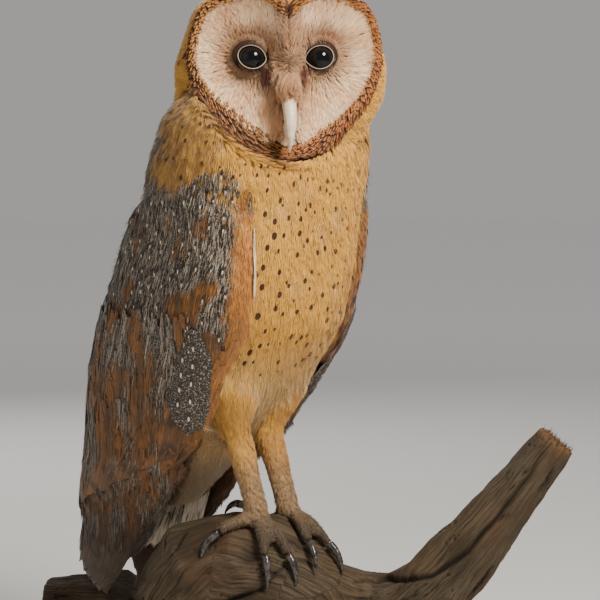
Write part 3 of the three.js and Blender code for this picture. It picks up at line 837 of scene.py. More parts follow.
def coat_material(name, spotted=True):
    """Soft feathers: fine barbs, grey pepper where Mark says so, dark spots where Lie's third number does."""
    n = Nodes(name)
    x, z, mask = n.split(n.attribute("Lie"))
    sheet = n.combine(n.times(x, 1.25), n.times(z, 0.78))
    barbs = n.noise(n.combine(n.times(x, 2.6), n.times(z, 0.35)), 1.0, 2)
    colour = n.tint(n.coat(), barbs, (0.8, 0.78, 0.76), (1.14, 1.12, 1.1))
    colour = n.tint(colour, n.split(n.attribute("Vane"))[2], (0.93, 0.92, 0.9), (1.07, 1.06, 1.05))
    grey = n.split(n.attribute("Mark"))[0]
    speck = n.noise(n.position(), PEPPER_SCALE, 2, 0.7)
    colour = n.mix(n.times(n.step(speck, 0.54, 0.64), n.times(grey, 0.6)), colour, PEPPER_PALE)
    colour = n.mix(n.times(n.step(speck, 0.47, 0.38), n.times(grey, 0.7)), colour, PEPPER_DARK)
    if spotted:
        inputs = {"Vector": sheet, "Scale": SPOTS_PER_MM, "Randomness": 0.9}
        cells = n.add("TexVoronoi", inputs, voronoi_dimensions="2D")
        drawn = n.split(cells.outputs["Color"])
        size = n.scaled(drawn[0], 0.09, n.scaled(mask, 0.085, 0.01))
        near = n.step(n.minus(size, cells.outputs["Distance"]), -0.012, 0.03)
        kept = n.step(n.minus(mask, drawn[1]), -0.12, -0.02)
        colour = n.mix(n.times(near, kept), colour, SPOT_BROWN)
    return n.finish(colour, 0.72, barbs, 0.25, 0.0003, Specular_IOR_Level=0.25, Sheen_Weight=0.25,
                    Sheen_Roughness=0.5)


FRONT_DEGREES = 66
BELLY_TOP = 232
plume_paint = coat_material("plumage")
on_body = np.isin(quad_kind, ["trunk", "neck"])
turned_to = np.abs(body_angle(quad_bird))
front = on_body & (quad_room > 5) & (turned_to < FRONT_DEGREES)
upper = quad_bird[:, 2] > BELLY_TOP
for name, zone, spacing, seed in (("coat_breast", upper, 1.75, 51), ("coat_belly", ~upper, 1.8, 52)):
    piece = Coat(name)
    plumage(piece, front & zone, spacing, trunk_size, body_tone, seed, spots=spot_mask)
    piece.build(plume_paint, "plumage")

# ---------------------------------------------------------------- head
HEAD_Z = [300, 340, 400]
head_size = by_height(HEAD_Z, [11, 9.5, 8.0], [300, 400], [3.6, 3.0])


def on_face(head):
    """True inside the facial disc and its ruff, seen from in front of the face."""
    turn, outside = disc_polar(head)
    return (outside < np.interp(turn, RUFF_DEGREES, RUFF_WIDTH) * 0.8) & (head[:, 1] < 2)


face_side = on_face(quad_head) & np.isin(quad_kind, ["head", "facial"])
crown = Coat("coat_head")
on_crown = (quad_kind == "head") & ~face_side & (quad_room > 2)
plumage(crown, on_crown, 1.45, head_size, head_tone, 61, shapes=FINE_SHAPES, lift=0.0, spots=0.55)
crown.build(plume_paint, "plumage")

# The opening between the lids: half sizes, slant towards the bill, and its middle beside the eyeball's.
LID_WIDE = 7.4
LID_TALL = 6.3
LID_SLANT = math.radians(12)
LID_SHIFT = -0.7
LID_LIFT = 0.8

# The facial disc: fine hair-like feathers that stream away from the eyes, with the bill left free.
FACE_SPACING = 1.15
RIDGE_HALF = 8
RIDGE_LENGTH = 5.2
LIDS_EDGE = 1.06
BILL_HALF = 5.2
BILL_FROM = -12.5
BILL_TO = -40


def face_ways(head, normals):
    """Directions in the head's frame: away from the nearer eye, and down and out along the middle ridge."""
    side = np.sign(head[:, 0] + 1e-6)
    out = columns(head[:, 0] - side * EYE_SPREAD, 0.0, head[:, 2] - EYE_RISE)
    away = np.linalg.norm(out, axis=1)
    ridge = bump((head[:, 0], 9.0)) * ramp(away, 4, 14)
    above = ramp(head[:, 2], -2, 14)[:, None]
    comb = columns(side * 0.75, 0.0, -0.8) * (1 - above) + columns(side * 0.5, 0.0, 0.9) * above
    way = unit(out) * (1 - ridge[:, None]) + unit(comb) * ridge[:, None] * 1.4
    return along_surface(way, normals)


def beyond_lids(head):
    """How many times the size of the lids' opening a place of the face lies from the middle of the eye."""
    side = np.sign(head[:, 0])
    x = side * head[:, 0] - EYE_SPREAD - side * LID_SHIFT
    z = head[:, 2] - EYE_RISE - LID_LIFT
    across = x * math.cos(LID_SLANT) + z * math.sin(LID_SLANT)
    up = z * math.cos(LID_SLANT) - x * math.sin(LID_SLANT)
    return np.hypot(across / LID_WIDE, up / LID_TALL)


face_paint = coat_material("face", spotted=False)


def face_coat():
    """The disc's feathers: short beside the eyes and the bill, longest towards the edge but never past it."""
    draw = np.random.default_rng(71)
    chosen = np.nonzero(face_side & (disc_polar(quad_head)[1] < -0.5) & (quad_head[:, 1] < 0))[0]
    places, normals, _, sunk = scatter(chosen, FACE_SPACING, draw)
    head = to_head(places)
    head_normals = turned(normals, HEAD_TO_ROW.inverted())
    under_bill = (np.abs(head[:, 0]) < BILL_HALF) & (head[:, 2] < BILL_FROM) & (head[:, 2] > BILL_TO)
    keep = (beyond_lids(head) > LIDS_EDGE) & ~under_bill & (head_normals[:, 1] < -0.15)
    places, normals, sunk, head, head_normals = (v[keep] for v in (places, normals, sunk, head, head_normals))
    count = len(head)
    ways = swung(face_ways(head, head_normals), head_normals, draw.normal(0, 9, count))
    to_eye = np.hypot(np.abs(head[:, 0]) - EYE_SPREAD, head[:, 2] - EYE_RISE)
    length = np.interp(to_eye, [7, 10, 15, 26], [2.2, 4.2, 6.5, 9.5]) * draw.uniform(0.8, 1.2, count)
    length = np.where(np.abs(head[:, 0]) < RIDGE_HALF, np.minimum(length, RIDGE_LENGTH), length)
    length = np.minimum(length, np.maximum(2.4, 0.8 - disc_polar(head)[1]))
    width = length * 0.26 * draw.uniform(0.8, 1.2, count)
    rise = 0.35 + draw.normal(0, 0.22, count) + 0.3 * wander(head, 10, 72)
    patchy = 1 + 0.07 * wander(head, 7, 73) + draw.normal(0, 0.06, count)
    ridge_dark = bump((head[:, 0], 6.5)) * (draw.uniform(0, 1, count) < 0.3)
    tone = disc_colour(head) * (patchy * (1 - 0.35 * ridge_dark))[:, None]

    def dress(mine, points, own, number, shape):
        shades, finger = strands(draw, len(mine), shape, 0.08)
        # painted shade: each tuft is darker towards its root, where the tufts cover one another
        colour = tone[mine][number] * ((0.72 + 0.32 * own[:, 1]) * shades[number, finger])[:, None]
        sheet, around = spot_sheet(points)
        return colour, {
            "Lie": columns(around, sheet[:, 2], 0.0),
            "Vane": vane(own, number, draw.uniform(0, 1, len(mine))),
        }

    coat = Coat("coat_face")
    roots = (places, normals, turned(ways, HEAD_TO_ROW))
    coat.grow(draw, FINE_SHAPES, roots, length, width, sunk * 0.8, rise, dress)
    coat.build(face_paint, "face")


def face_surface(x, z):
    """Where the outer surface is met from in front at places of the face's plane: places, normals, met."""
    starts = moved(columns(x, -90.0, z), HEAD_TO_ROW)
    ways = np.tile(turned(np.array([[0.0, 1.0, 0.0]]), HEAD_TO_ROW), (len(x), 1))
    places, normals, _, _, met = first_hits(starts, ways, 140)
    return places, normals, met


def plain_vectors(points, own, number, chance):
    """What the coat's material needs where there are neither spots nor pepper."""
    return {
        "Lie": columns(0.0, points[:, 2], 0.0),
        "Vane": vane(own, number, chance),
        "Mark": np.zeros((len(points), 3)),
    }


BRISTLES_BESIDE = 420
BRISTLES_ABOVE = 300


def lores_coat():
    """The bristles that lean from both sides and from above over the base of the bill."""
    draw = np.random.default_rng(75)
    count = BRISTLES_BESIDE + BRISTLES_ABOVE
    side = np.where(draw.uniform(0, 1, count) < 0.5, -1.0, 1.0)
    z = np.concatenate([draw.uniform(-27, -5, BRISTLES_BESIDE), draw.uniform(-14, 0, BRISTLES_ABOVE)])
    beside = np.interp(z, [-27, -14, -5], [6.2, 4.6, 1.5]) + draw.uniform(-1.2, 1.6, count)
    on_top = np.arange(count) >= BRISTLES_BESIDE
    above = draw.uniform(0, 1, BRISTLES_ABOVE) * np.interp(z[on_top], [-14, -5, 0], [6.8, 6, 4.4])
    x = side * np.concatenate([beside[~on_top], above])
    places, normals, good = face_surface(x, z)
    places, normals, x, z, side, on_top = (values[good] for values in (places, normals, x, z, side, on_top))
    count = len(places)
    over = np.interp(z, [-27, -14, -5], [0.05, 0.45, 0.3])
    ways = along_surface(turned(columns(-side * over, -0.25, -1.0), HEAD_TO_ROW), normals, 0.6)
    length = draw.uniform(5.0, 7.5, count) + on_top * np.interp(z, [-14, -9, 0], [-0.8, 1.6, 4.0])
    tone = disc_colour(to_head(places)) * draw.uniform(0.85, 1.15, count)[:, None]
    rise = np.interp(np.abs(x), [0, 3, 7], [3.4, 2.6, 0.8]) + draw.normal(0, 0.3, count)
    rise = rise + on_top * np.interp(z, [-14, -9, 0], [9.0, 7.4, 5.5])
    rise = rise + ~on_top * np.interp(z, [-22, -15], [0, 2.5])

    def dress(mine, points, own, number, shape):
        # painted shade: each bristle is darker towards its root
        colour = tone[mine][number] * (0.75 + 0.3 * own[:, 1])[:, None]
        return colour, plain_vectors(points, own, number, draw.uniform(0, 1, len(mine)))

    coat = Coat("coat_lores")
    roots = (places, normals, ways)
    coat.grow(draw, FINE_SHAPES, roots, length, length * 0.3, 0.4 - 1.6 * on_top, rise, dress)
    coat.build(face_paint, "face")


# The ruff: rows of small stiff feathers that point down along the edge of the disc.
RUFF_ROWS = 6
RUFF_STEP = 2.3
RUFF_SHAPES = [vane_shape(seed) for seed in range(81, 84)]
RUFF_GOLD = linear(184, 130, 54)
RUFF_ORANGE = linear(152, 80, 18)
RUFF_BROWN = linear(66, 34, 14)


def ruff_material():
    """Dark brown feathers, each with a golden streak that widens towards the tip."""
    n = Nodes("ruff")
    across, along, own = n.split(n.attribute("Vane"))
    wide = n.split(n.attribute("Mark"))[0]
    streak = n.step(n.minus(n.times(along, wide), n.size(across)), -0.1, 0.08)
    streak = n.times(streak, n.step(along, 0.35, 0.55))
    streak = n.times(streak, n.step(n.scaled(own, 0.12, along), 1.03, 0.93))
    barbs = n.noise(n.combine(n.times(across, 7.0), n.times(along, 1.2), own), 1.0, 2)
    colour = n.tint(n.mix(streak, RUFF_BROWN, n.coat()), barbs, (0.7, 0.68, 0.66), (1.25, 1.22, 1.2))
    return n.finish(colour, 0.6, barbs, 0.3, 0.0003, Specular_IOR_Level=0.3, Sheen_Weight=0.15)


def ruff_row(coat, draw, row):
    """One row of the ruff, from the disc's edge outwards."""
    outer_share = row / (RUFF_ROWS - 1)
    turn = np.arange(-179, 180, RUFF_STEP) + draw.uniform(-0.6, 0.6)
    inner = np.interp(turn, [-172, -152, -112, -88], [1.8, 5.6, 5.0, 1.8])
    wide = np.interp(np.abs(turn), RUFF_DEGREES, RUFF_WIDTH) + inner - 1.0
    radius = np.interp(np.abs(turn), DISC_DEGREES, DISC_EDGE) - inner + outer_share * wide
    radius = radius + draw.normal(0, 0.35, len(turn))
    angle = np.radians(turn + draw.normal(0, 0.8, len(turn)))
    places, normals, good = face_surface(radius * np.sin(angle), radius * np.cos(angle))
    places, normals, angle, turn = places[good], normals[good], angle[good], turn[good]
    side = np.sign(angle)
    outward = np.interp(np.abs(turn), [0, 40, 90, 180], [0.9, 0.5, 0.35, 0.45])
    x = side * np.cos(angle) + outward * np.sin(angle)
    z = -side * np.sin(angle) + outward * np.cos(angle)
    ways = along_surface(turned(columns(x, 0.1, z), HEAD_TO_ROW), normals)
    count = len(places)
    length = draw.uniform(5.0, 7.5, count) * np.interp(np.abs(turn), [0, 90, 140, 180], [0.75, 0.8, 1.1, 0.9])
    width = draw.uniform(2.0, 2.9, count)
    rise = np.full(count, 0.9 if row < 3 else 0.5) + draw.normal(0, 0.15, count)
    tone = blend(RUFF_GOLD, RUFF_ORANGE, ramp(turn, -60, 60) * 0.45 + draw.uniform(0, 0.55, count))
    # Brown prevails low on the right side of the face and outside; elsewhere the golden streaks are wide.
    streak = np.interp(turn, [-180, -160, -100, -60, 60, 110, 180], [0.3, 0.2, 0.22, 0.5, 0.72, 0.5, 0.36])
    streak = streak * (1.0 - 0.5 * outer_share) * draw.uniform(0.6, 1.3, count)

    def dress(mine, points, own, number, shape):
        return tone[mine][number], {
            "Vane": vane(own, number, draw.uniform(0, 1, len(mine))),
            "Mark": np.tile(streak[mine][number][:, None], (1, 3)),
        }

    coat.grow(draw, RUFF_SHAPES, (places, normals, ways), length, width, np.full(count, 0.8), rise, dress)


def ruff_coat():
    draw = np.random.default_rng(82)
    coat = Coat("coat_ruff")
    for row in range(RUFF_ROWS):
        ruff_row(coat, draw, row)
    coat.build(ruff_material(), "plumage")


face_coat()
lores_coat()
ruff_coat()

# ---------------------------------------------------------------- wings, mantle and tail
# Height, then degrees from the front to each wing's leading edge, right and left, and to the trailing edge.
EDGE_Z = [43, 60, 92, 113, 156, 190, 218, 250, 275, 290, 300, 309]
LEAD_RIGHT = [66, 46, 38, 38, 37, 36, 34, 35, 39, 44, 49, 58]
LEAD_LEFT = [80, 70, 63, 61, 57, 48, 41, 38, 40, 44, 49, 58]
TRAIL = [150, 162, 170, 173, 172, 168, 161, 150, 138, 126, 112, 104]
# How high the grey of the wings and back reaches, and how low their small feathers do, round from the front.
TOP_DEGREES = [46, 58, 68, 80, 96, 112, 140, 180]
TOP_Z = [296, 308, 308, 302, 297, 302, 318, 330]
LOW_DEGREES = [38, 60, 100, 140, 180]
LOW_Z = [198, 206, 206, 190, 150]
RUFOUS = linear(150, 100, 50)
RUFOUS_DEEP = linear(106, 76, 42)
FRONT_ORANGE = linear(190, 128, 64)
EDGE_PALE = linear(238, 220, 194)
FLIGHT_BROWN = linear(78, 58, 40)
# Dark brown of the lower wing and its tips: partly the feathers' own colour, partly painted shade of the
# lower wing.
TIP_BROWN_AND_SHADE = linear(30, 25, 20)
TAIL_WHITE = linear(206, 192, 172)
STREAK_DARK = linear(70, 50, 32)
STREAK_PALE = linear(176, 124, 70)
BAR_BROWN = linear(46, 34, 25)
DROP_BLACK = linear(30, 26, 23)
SHAFT_BROWN = linear(66, 46, 30)
# Where rufous shows through the grey: degrees from the front, height, half sizes of each, strength.
PATCHES = [
    (66, 278, 7, 5, 0.9), (78, 268, 9, 8, 0.55), (112, 272, 8, 15, 0.6), (67, 311, 9, 4, 1.2),
    (54, 247, 6, 6, 1.1), (63, 239, 6, 8, 1.2), (75, 233, 9, 9, 1.3), (66, 196, 8, 9, 1.1),
    (88, 204, 6, 12, 0.8), (114, 186, 10, 13, 0.9), (140, 228, 12, 16, 0.6), (96, 248, 5, 8, 0.5),
    (160, 196, 9, 18, 0.6), (52, 214, 6, 9, 0.9),
]


def lead_edge(side, z):
    """Degrees from the front to the leading edge of the right (side below 0) or left wing."""
    return np.where(np.asarray(side) < 0, np.interp(z, EDGE_Z, LEAD_RIGHT), np.interp(z, EDGE_Z, LEAD_LEFT))


def surface_round(side, degrees, z):
    """Where the outer surface is met from outside, at degrees from the front: places, normals, kinds, met."""
    t = np.radians(degrees)
    way = columns(side * np.sin(t), -np.cos(t), 0.0)
    starts = moved(columns(0.0, spine(z), z) + way * 150, TO_ROW)
    places, normals, faces, _, met = first_hits(starts, turned(-way, TO_ROW), 150)
    return places, normals, kind[outer_triangles[faces][:, 0]], met


BAR_STEP = 19.0


def feather_material():
    """Wing and tail feathers: a rufous base, dark bars, a grey peppered end and white drops set in black.

    Vane is (across, along, the feather's own number), Lie is (half width, length, drops), and Mark is
    (where the grey begins, how strong the bars are, how many drops show)."""
    n = Nodes("feather")
    across, along, own = n.split(n.attribute("Vane"))
    half, length, drops = n.split(n.attribute("Lie"))
    grey_from, bars, dropped = n.split(n.attribute("Mark"))
    x = n.times(across, half)
    y = n.times(along, length)
    place = n.position()
    uneven = n.noise(place, 95.0, 3, 0.65)
    slant = n.minus(y, n.times(n.size(x), 1.1))
    barbs = n.noise(n.combine(n.times(slant, 1.6), n.times(x, 0.12), own), 1.0, 2)
    streaks = n.noise(n.combine(n.times(x, 1.5), n.times(y, 0.07), own), 1.0, 3, 0.6)
    colour = n.tint(n.coat(), barbs, (0.78, 0.76, 0.74), (1.2, 1.18, 1.16))
    colour = n.mix(n.step(streaks, 0.5, 0.36), colour, STREAK_DARK)
    colour = n.mix(n.times(n.step(streaks, 0.58, 0.72), 0.5), colour, STREAK_PALE)

    ragged = n.scaled(uneven, 1.1, n.scaled(streaks, 0.5, own))
    wave = n.math("FRACT", n.plus(n.math("DIVIDE", y, BAR_STEP), ragged))
    bar = n.times(n.step(wave, 0.3, 0.5), n.step(wave, 0.86, 0.64))
    colour = n.mix(n.times(bar, bars), colour, BAR_BROWN)

    pepper = n.noise(place, PEPPER_SCALE, 2, 0.7)
    grey = n.mix(n.step(pepper, 0.52, 0.68), PEPPER_DARK, PEPPER_PALE)
    reach_of_grey = n.plus(along, n.scaled(uneven, 0.9, n.scaled(streaks, 0.6, -0.75)))
    greyed = n.step(n.minus(reach_of_grey, grey_from), -0.05, 0.05)
    colour = n.mix(n.times(greyed, n.step(grey_from, 1.25, 1.15)), colour, grey)

    turn = n.math("FRACT", n.scaled(n.minus(along, 0.84), drops, 0.5))
    off = n.math("DIVIDE", n.times(n.minus(turn, 0.5), length), drops)

    def oval(wide, tall, rise):
        a = n.math("POWER", n.math("DIVIDE", n.size(x), wide), 2.0)
        b = n.math("POWER", n.math("DIVIDE", n.size(n.plus(off, rise)), tall), 2.0)
        return n.times(n.step(n.plus(a, b), 1.3, 0.7), n.math("LESS_THAN", own, dropped))

    colour = n.mix(n.times(oval(1.1, 3.2, 1.6), 0.8), colour, DROP_BLACK)
    colour = n.mix(oval(0.62, 1.5, 0.0), colour, DROP_WHITE)
    shaft = n.step(n.size(x), 0.32, 0.12)
    colour = n.mix(n.times(shaft, 0.3), colour, SHAFT_BROWN)
    height = n.plus(n.plus(barbs, streaks), n.times(shaft, 0.8))
    return n.finish(colour, 0.62, height, 0.4, 0.0004, Specular_IOR_Level=0.28, Sheen_Weight=0.15,
                    Sheen_Roughness=0.5)


feather_paint = feather_material()
wing_paint = coat_material("wing", spotted=False)
COVERT_SHAPES = [plume_shape(seed, 9, 0.85, 0.85) for seed in range(91, 96)]


def on_wing(bird):
    """Degrees behind a wing's leading edge, and mm below the top and above the foot of its small feathers."""
    turn, z = body_angle(bird), bird[:, 2]
    degrees = np.abs(turn)
    top = np.interp(degrees, TOP_DEGREES, TOP_Z)
    low = np.interp(degrees, LOW_DEGREES, LOW_Z)
    return degrees - lead_edge(turn, z), top - z, z - low


def rufous_share(bird):
    """How far rufous shows instead of the grey pepper, in ragged patches, and how far the wing's edge."""
    degrees, z = np.abs(body_angle(bird)), bird[:, 2]
    streaks = wander(columns(degrees, z * 0.25, np.sign(bird[:, 0]) * 30), 9, 97)
    cloud = wander(columns(degrees * 0.9, z * 0.7, 20.0), 26, 98)
    share = 0.6 * ramp(cloud + 0.5 * streaks, 0.3, 0.8)
    for at_degrees, at_z, half_degrees, half_z, strength in PATCHES:
        share += strength * bump((degrees - at_degrees, half_degrees), (z - at_z, half_z))
    front_share = ramp(on_wing(bird)[0], 13, 6) * ramp(z, 296, 282)
    return np.clip(ramp(share + 0.22 * streaks, 0.38, 0.72) + front_share, 0, 1), front_share


def front_tone(bird):
    """The edge of the wing: orange on the right wing, browner on the left one."""
    return blend(FRONT_ORANGE, RUFOUS, (bird[:, 0] > 0) * 1.0)


def wing_tone(places):
    bird = to_bird(places)
    rufous, front_share = rufous_share(bird)
    streaks = wander(columns(body_angle(bird), bird[:, 2] * 0.2, 5.0), 7, 99)
    tone = blend(RUFOUS, RUFOUS_DEEP, np.clip(0.5 + 0.6 * streaks, 0, 1))
    return blend(tone, front_tone(bird), front_share), 1 - rufous


def mantle_tone(places):
    """The gold shoulder, flecked with grey towards the pale peppered nape."""
    bird = to_bird(places)
    fleck = wander(bird, 6, 100)
    far_side = bird[:, 0] > 0
    grey_from = np.interp(bird[:, 2], [290, 330], [98, 118]) - 16 * far_side
    ragged = 11 * fleck + 8 * wander(bird, 13, 101)
    grey = ramp(np.abs(body_angle(bird)) - grey_from + ragged, -12, 18) * 0.95 + 0.25 * ramp(fleck, 0.5, 0.9)
    tone = blend(GOLD, GOLD_DEEP, np.clip(0.5 + 0.5 * fleck, 0, 1))
    return blend(tone, GREY, 0.22), np.clip(grey, 0, 1)


def wing_size(bird):
    """Longer feathers lower down, narrower ones at the leading edge."""
    degrees, z = np.abs(body_angle(bird)), bird[:, 2]
    length = np.interp(z, [120, 190, 240, 300], [24, 18, 13, 10])
    width = np.interp(z, [120, 190, 240, 300], [10, 9, 7.5, 6])
    return length, width * np.interp(degrees, [36, 50], [0.8, 1.0])


def drop_shape():
    """A narrow kite: half widths at shares of its length."""
    rows = [(0.0, 0.5), (0.35, 1.0), (0.5, 0.62), (0.56, 0.55), (0.78, 0.5), (1.0, 0.0)]
    points = [(side * half, along, 0.0) for along, half in rows for side in (-1, 1)]
    return np.array(points), grid_faces(len(rows), 2)


DROP_ROW_GAP = 7.5
DROP_DEGREES = 8.4


def add_drops(coat, side, seed):
    """The small white drops of the wing, each at the end of a dark streak, in loose rows."""
    draw = np.random.default_rng(seed)
    rows = []
    for number, row_z in enumerate(np.arange(312, 150, -DROP_ROW_GAP)):
        degrees = np.arange(40 + (number % 2) * 4, 178, DROP_DEGREES)
        heights = row_z + draw.normal(0, 1.6, len(degrees))
        rows.append(columns(degrees + draw.normal(0, 1.3, len(degrees)), heights))
    degrees, z = np.concatenate(rows).T
    places, normals, kinds, good = surface_round(side, degrees, z)
    bird = to_bird(places)
    from_lead, below_top, above_low = on_wing(bird)
    good &= (from_lead > 4) & (below_top > 4) & (above_low > -6) & (rufous_share(bird)[0] < 0.4)
    good &= (draw.uniform(0, 1, len(z)) < 0.86) & np.isin(kinds, ["wing", "trunk", "neck"])
    places, normals = places[good], normals[good]
    count = len(places)
    ways = lie_of(places, normals, np.full(count, "wing"))
    length = draw.uniform(4.2, 6.0, count)
    width = draw.uniform(1.3, 1.9, count)

    def dress(mine, points, own, number, shape):
        tone = blend(PEPPER_DARK * 0.6, DROP_WHITE, ramp(own[:, 1], 0.5, 0.62))
        return tone, plain_vectors(points, own, number, np.full(count, 0.5))

    coat.grow(draw, [drop_shape()], (places, normals, ways), length, width, np.full(count, 0.2),
              np.full(count, 1.5), dress, sag=-6.0)


# A long feather is one grid that follows the surface under it.
QUILL_ROWS = 18
QUILL_COLUMNS = 6
ATLAS_COLUMNS = 8
ATLAS_ROWS = 4


def quill_half_width(along):
    body = np.minimum(1, 0.35 + 2.6 * along)
    end = np.clip((along - 0.78) / 0.22, 0, 1)
    return body * (1 - end ** 3) ** 0.5


def add_quill(coat, path, width, offset, tilt, tone, mark, cell, seed, drops=1, follow=True):
    """A flight feather along a path of (surface points, normals), offset mm above it.

    tilt lifts one edge over its neighbour; cell is its place in the atlas of the bake map."""
    draw = np.random.default_rng(seed)
    points, normals = path
    share = np.linspace(0, 1, len(points))
    along = np.linspace(0, 1, QUILL_ROWS + 1)
    centre = columns(*[np.interp(along, share, points[:, k]) for k in range(3)])
    normal = unit(columns(*[np.interp(along, share, normals[:, k]) for k in range(3)]))
    tangent = unit(np.gradient(centre, axis=0))
    side_way = unit(np.cross(normal, tangent))
    across = np.linspace(-1, 1, QUILL_COLUMNS + 1)
    half = quill_half_width(along) * width / 2
    length = np.linalg.norm(np.diff(centre, axis=0), axis=1).sum()
    grid = centre[:, None] + side_way[:, None] * (across[None, :, None] * half[:, None, None])
    pull = 0.10 * width * across ** 2
    grid = grid - tangent[:, None] * (pull[None, :, None] * ramp(along, 0.75, 1.0)[:, None, None])
    lift = offset * (0.25 + 0.75 * along)[:, None] + tilt * across[None] * (0.3 + 0.7 * along)[:, None]
    lift = lift + 0.35 * (1 - np.abs(across))[None] + draw.normal(0, 0.05, lift.shape)
    flat = grid.reshape(-1, 3)
    if follow:
        flat = nearest(outer_tree, flat)[0]
    lifted = flat + np.repeat(normal, len(across), axis=0) * lift.reshape(-1, 1)
    own = columns(np.tile(across, QUILL_ROWS + 1), np.repeat(along, len(across)))
    u = (cell % ATLAS_COLUMNS + 0.5 + 0.46 * own[:, 0]) / ATLAS_COLUMNS
    v = (cell // ATLAS_COLUMNS + 0.02 + 0.96 * own[:, 1]) / ATLAS_ROWS
    count = len(own)
    vectors = {
        "Vane": columns(own[:, 0], own[:, 1], draw.uniform()),
        "Lie": np.tile([width / 2, length, drops], (count, 1)),
        "Mark": np.tile(mark, (count, 1)).astype(float),
    }
    colour = np.tile(tone * (0.9 + 0.1 * draw.uniform()), (count, 1))
    coat.add(lifted, grid_faces(QUILL_ROWS + 1, len(across)), columns(u, v), colour, vectors)


def path_on_wing(side, from_degrees, from_z, to_degrees, to_z, stations=14):
    """Surface points and normals along a line of the wing."""
    t = np.linspace(0, 1, stations)
    degrees = from_degrees + (to_degrees - from_degrees) * t
    places, normals, _, good = surface_round(side, degrees, from_z + (to_z - from_z) * t)
    return places[good], normals[good]


# The long grey tuft that hangs over the flight feathers: degrees of its two feathers' tops and tips, then
# their widths, offsets and the heights of their tips.
LOBE = [(62, 53, 17, 2.9, 166), (57, 44.5, 23, 3.6, 157)]
LOBE_TOP = 216
# The thin pale rim of the wing's leading edge: degrees and height at its top and its foot.
WHITE_EDGE = (39, 272, 33.5, 234)
# Numbers of feathers, and the height where each row of them begins.
PRIMARIES = 9
PRIMARIES_TOP = 158
PRIMARIES_SPREAD_AT = 150
SECONDARIES = 11
SECONDARIES_TOP = 214
SECONDARIES_SPREAD_AT = 212
NO_GREY = 1.3


def wing_span(side, z):
    """Degrees from the front to a wing's leading edge, and from there to its trailing edge."""
    lead = lead_edge(side, z)
    return lead, np.interp(z, EDGE_Z, TRAIL) - lead


def flight_coat(name, side):
    """Primaries, then secondaries over them, then the pale rim (right wing only) and the lobe."""
    coat = Coat(name)
    cell = 0
    top_lead, top_span = wing_span(side, PRIMARIES_SPREAD_AT)
    for k in range(PRIMARIES):
        share = k / (PRIMARIES - 1)
        tip_z = 44 + 34 * share ** 1.4
        lead, span = wing_span(side, tip_z)
        tip = lead + 10 + (span - 22) * share
        path = path_on_wing(side, top_lead + 8 + top_span * 0.62 * share, PRIMARIES_TOP, tip, tip_z)
        # the primaries' brown is darkened, partly as painted shade of the lower wing
        tone = blend(FLIGHT_BROWN, TIP_BROWN_AND_SHADE, 0.45)
        add_quill(coat, path, 21, 0.9, -0.7 * side, tone, (NO_GREY, 0.6, 0.0), cell, 200 + k)
        cell += 1
    top_lead, top_span = wing_span(side, SECONDARIES_SPREAD_AT)
    for k in range(SECONDARIES):
        share = k / (SECONDARIES - 1)
        tip_z = 147 + (90 - 147) * share ** 0.8
        lead, span = wing_span(side, tip_z)
        tip = lead + 6 + (span - 9) * share
        path = path_on_wing(side, top_lead + 14 + (top_span - 16) * share, SECONDARIES_TOP, tip, tip_z)
        tone = blend(RUFOUS, FLIGHT_BROWN, 0.35 + 0.4 * (k % 2))
        add_quill(coat, path, 23, 1.8, -0.8 * side, tone, (NO_GREY, 0.6, 0.2), cell, 230 + k)
        cell += 1
    if side < 0:
        path = path_on_wing(side, *WHITE_EDGE, 10)
        add_quill(coat, path, 1.9, 1.7, 0.2 * side, EDGE_PALE, (NO_GREY, 0.0, 0.0), cell, 249)
        cell += 1
    for start, end, width, offset, tip_z in LOBE:
        path = path_on_wing(side, start, LOBE_TOP, end, tip_z, 8)
        add_quill(coat, path, width, offset, -0.4 * side, RUFOUS, (-0.4, 0.2, 1.1), cell, 250 + cell, drops=6)
        cell += 1
    return coat


quad_from_lead, quad_below_top, quad_above_low = on_wing(quad_bird)
carries_wing = np.isin(quad_kind, ["wing", "trunk", "neck", "primaries"]) & (quad_room > 1.5)
wing_zone = carries_wing & (quad_from_lead > -1) & (quad_below_top > 0) & (quad_above_low > 0)
for side, word in ((-1, "right"), (1, "left")):
    small = Coat("coat_wing_" + word)
    plumage(small, wing_zone & (np.sign(quad_bird[:, 0]) == side), 2.25, wing_size, wing_tone, 105 + side,
            shapes=COVERT_SHAPES, lift=0.5, deep=0.6, fray=5)
    add_drops(small, side, 110 + side)
    small.build(wing_paint, "wing_feathers")
    flight_coat("flight_" + word, side).build(feather_paint, "flight_feathers")


def loose_tone(places):
    """Brown, rufous and grey in streaks, darker towards the wing tips, partly their own darker brown and
    partly painted shade of the lower wing.
    """
    bird = to_bird(places)
    turn, z = body_angle(bird), bird[:, 2]
    streaks = wander(columns(turn * 1.1, z * 0.3, 9.0), 9, 121)
    cloud = wander(columns(turn * 0.9, z + turn * 0.3, 31.0), 27, 122)
    tone = blend(RUFOUS, RUFOUS_DEEP, np.clip(0.5 + 0.7 * streaks, 0, 1))
    # darker low on the wing, partly as painted shade, and darker in random patches
    dark_and_shade = ramp(z, 140, 84) * 0.85 + 0.4 * ramp(cloud, 0.1, 0.6)
    tone = blend(tone, TIP_BROWN_AND_SHADE, np.clip(dark_and_shade, 0, 1))
    grey = ramp(cloud + 0.5 * streaks, -0.15, 0.4) * np.interp(z, [90, 150, 226], [0.3, 0.8, 1.0])
    front_share = ramp(on_wing(bird)[0], 11, 6) * ramp(z, 160, 185)
    return blend(tone, front_tone(bird) * 0.8, front_share), grey * (1 - front_share)


def loose_lift(bird):
    """High enough to lie over the flight feathers and the coverts' tips."""
    return np.interp(bird[:, 2], [80, 130, 160, 226], [1.6, 2.2, 3.1, 2.4])


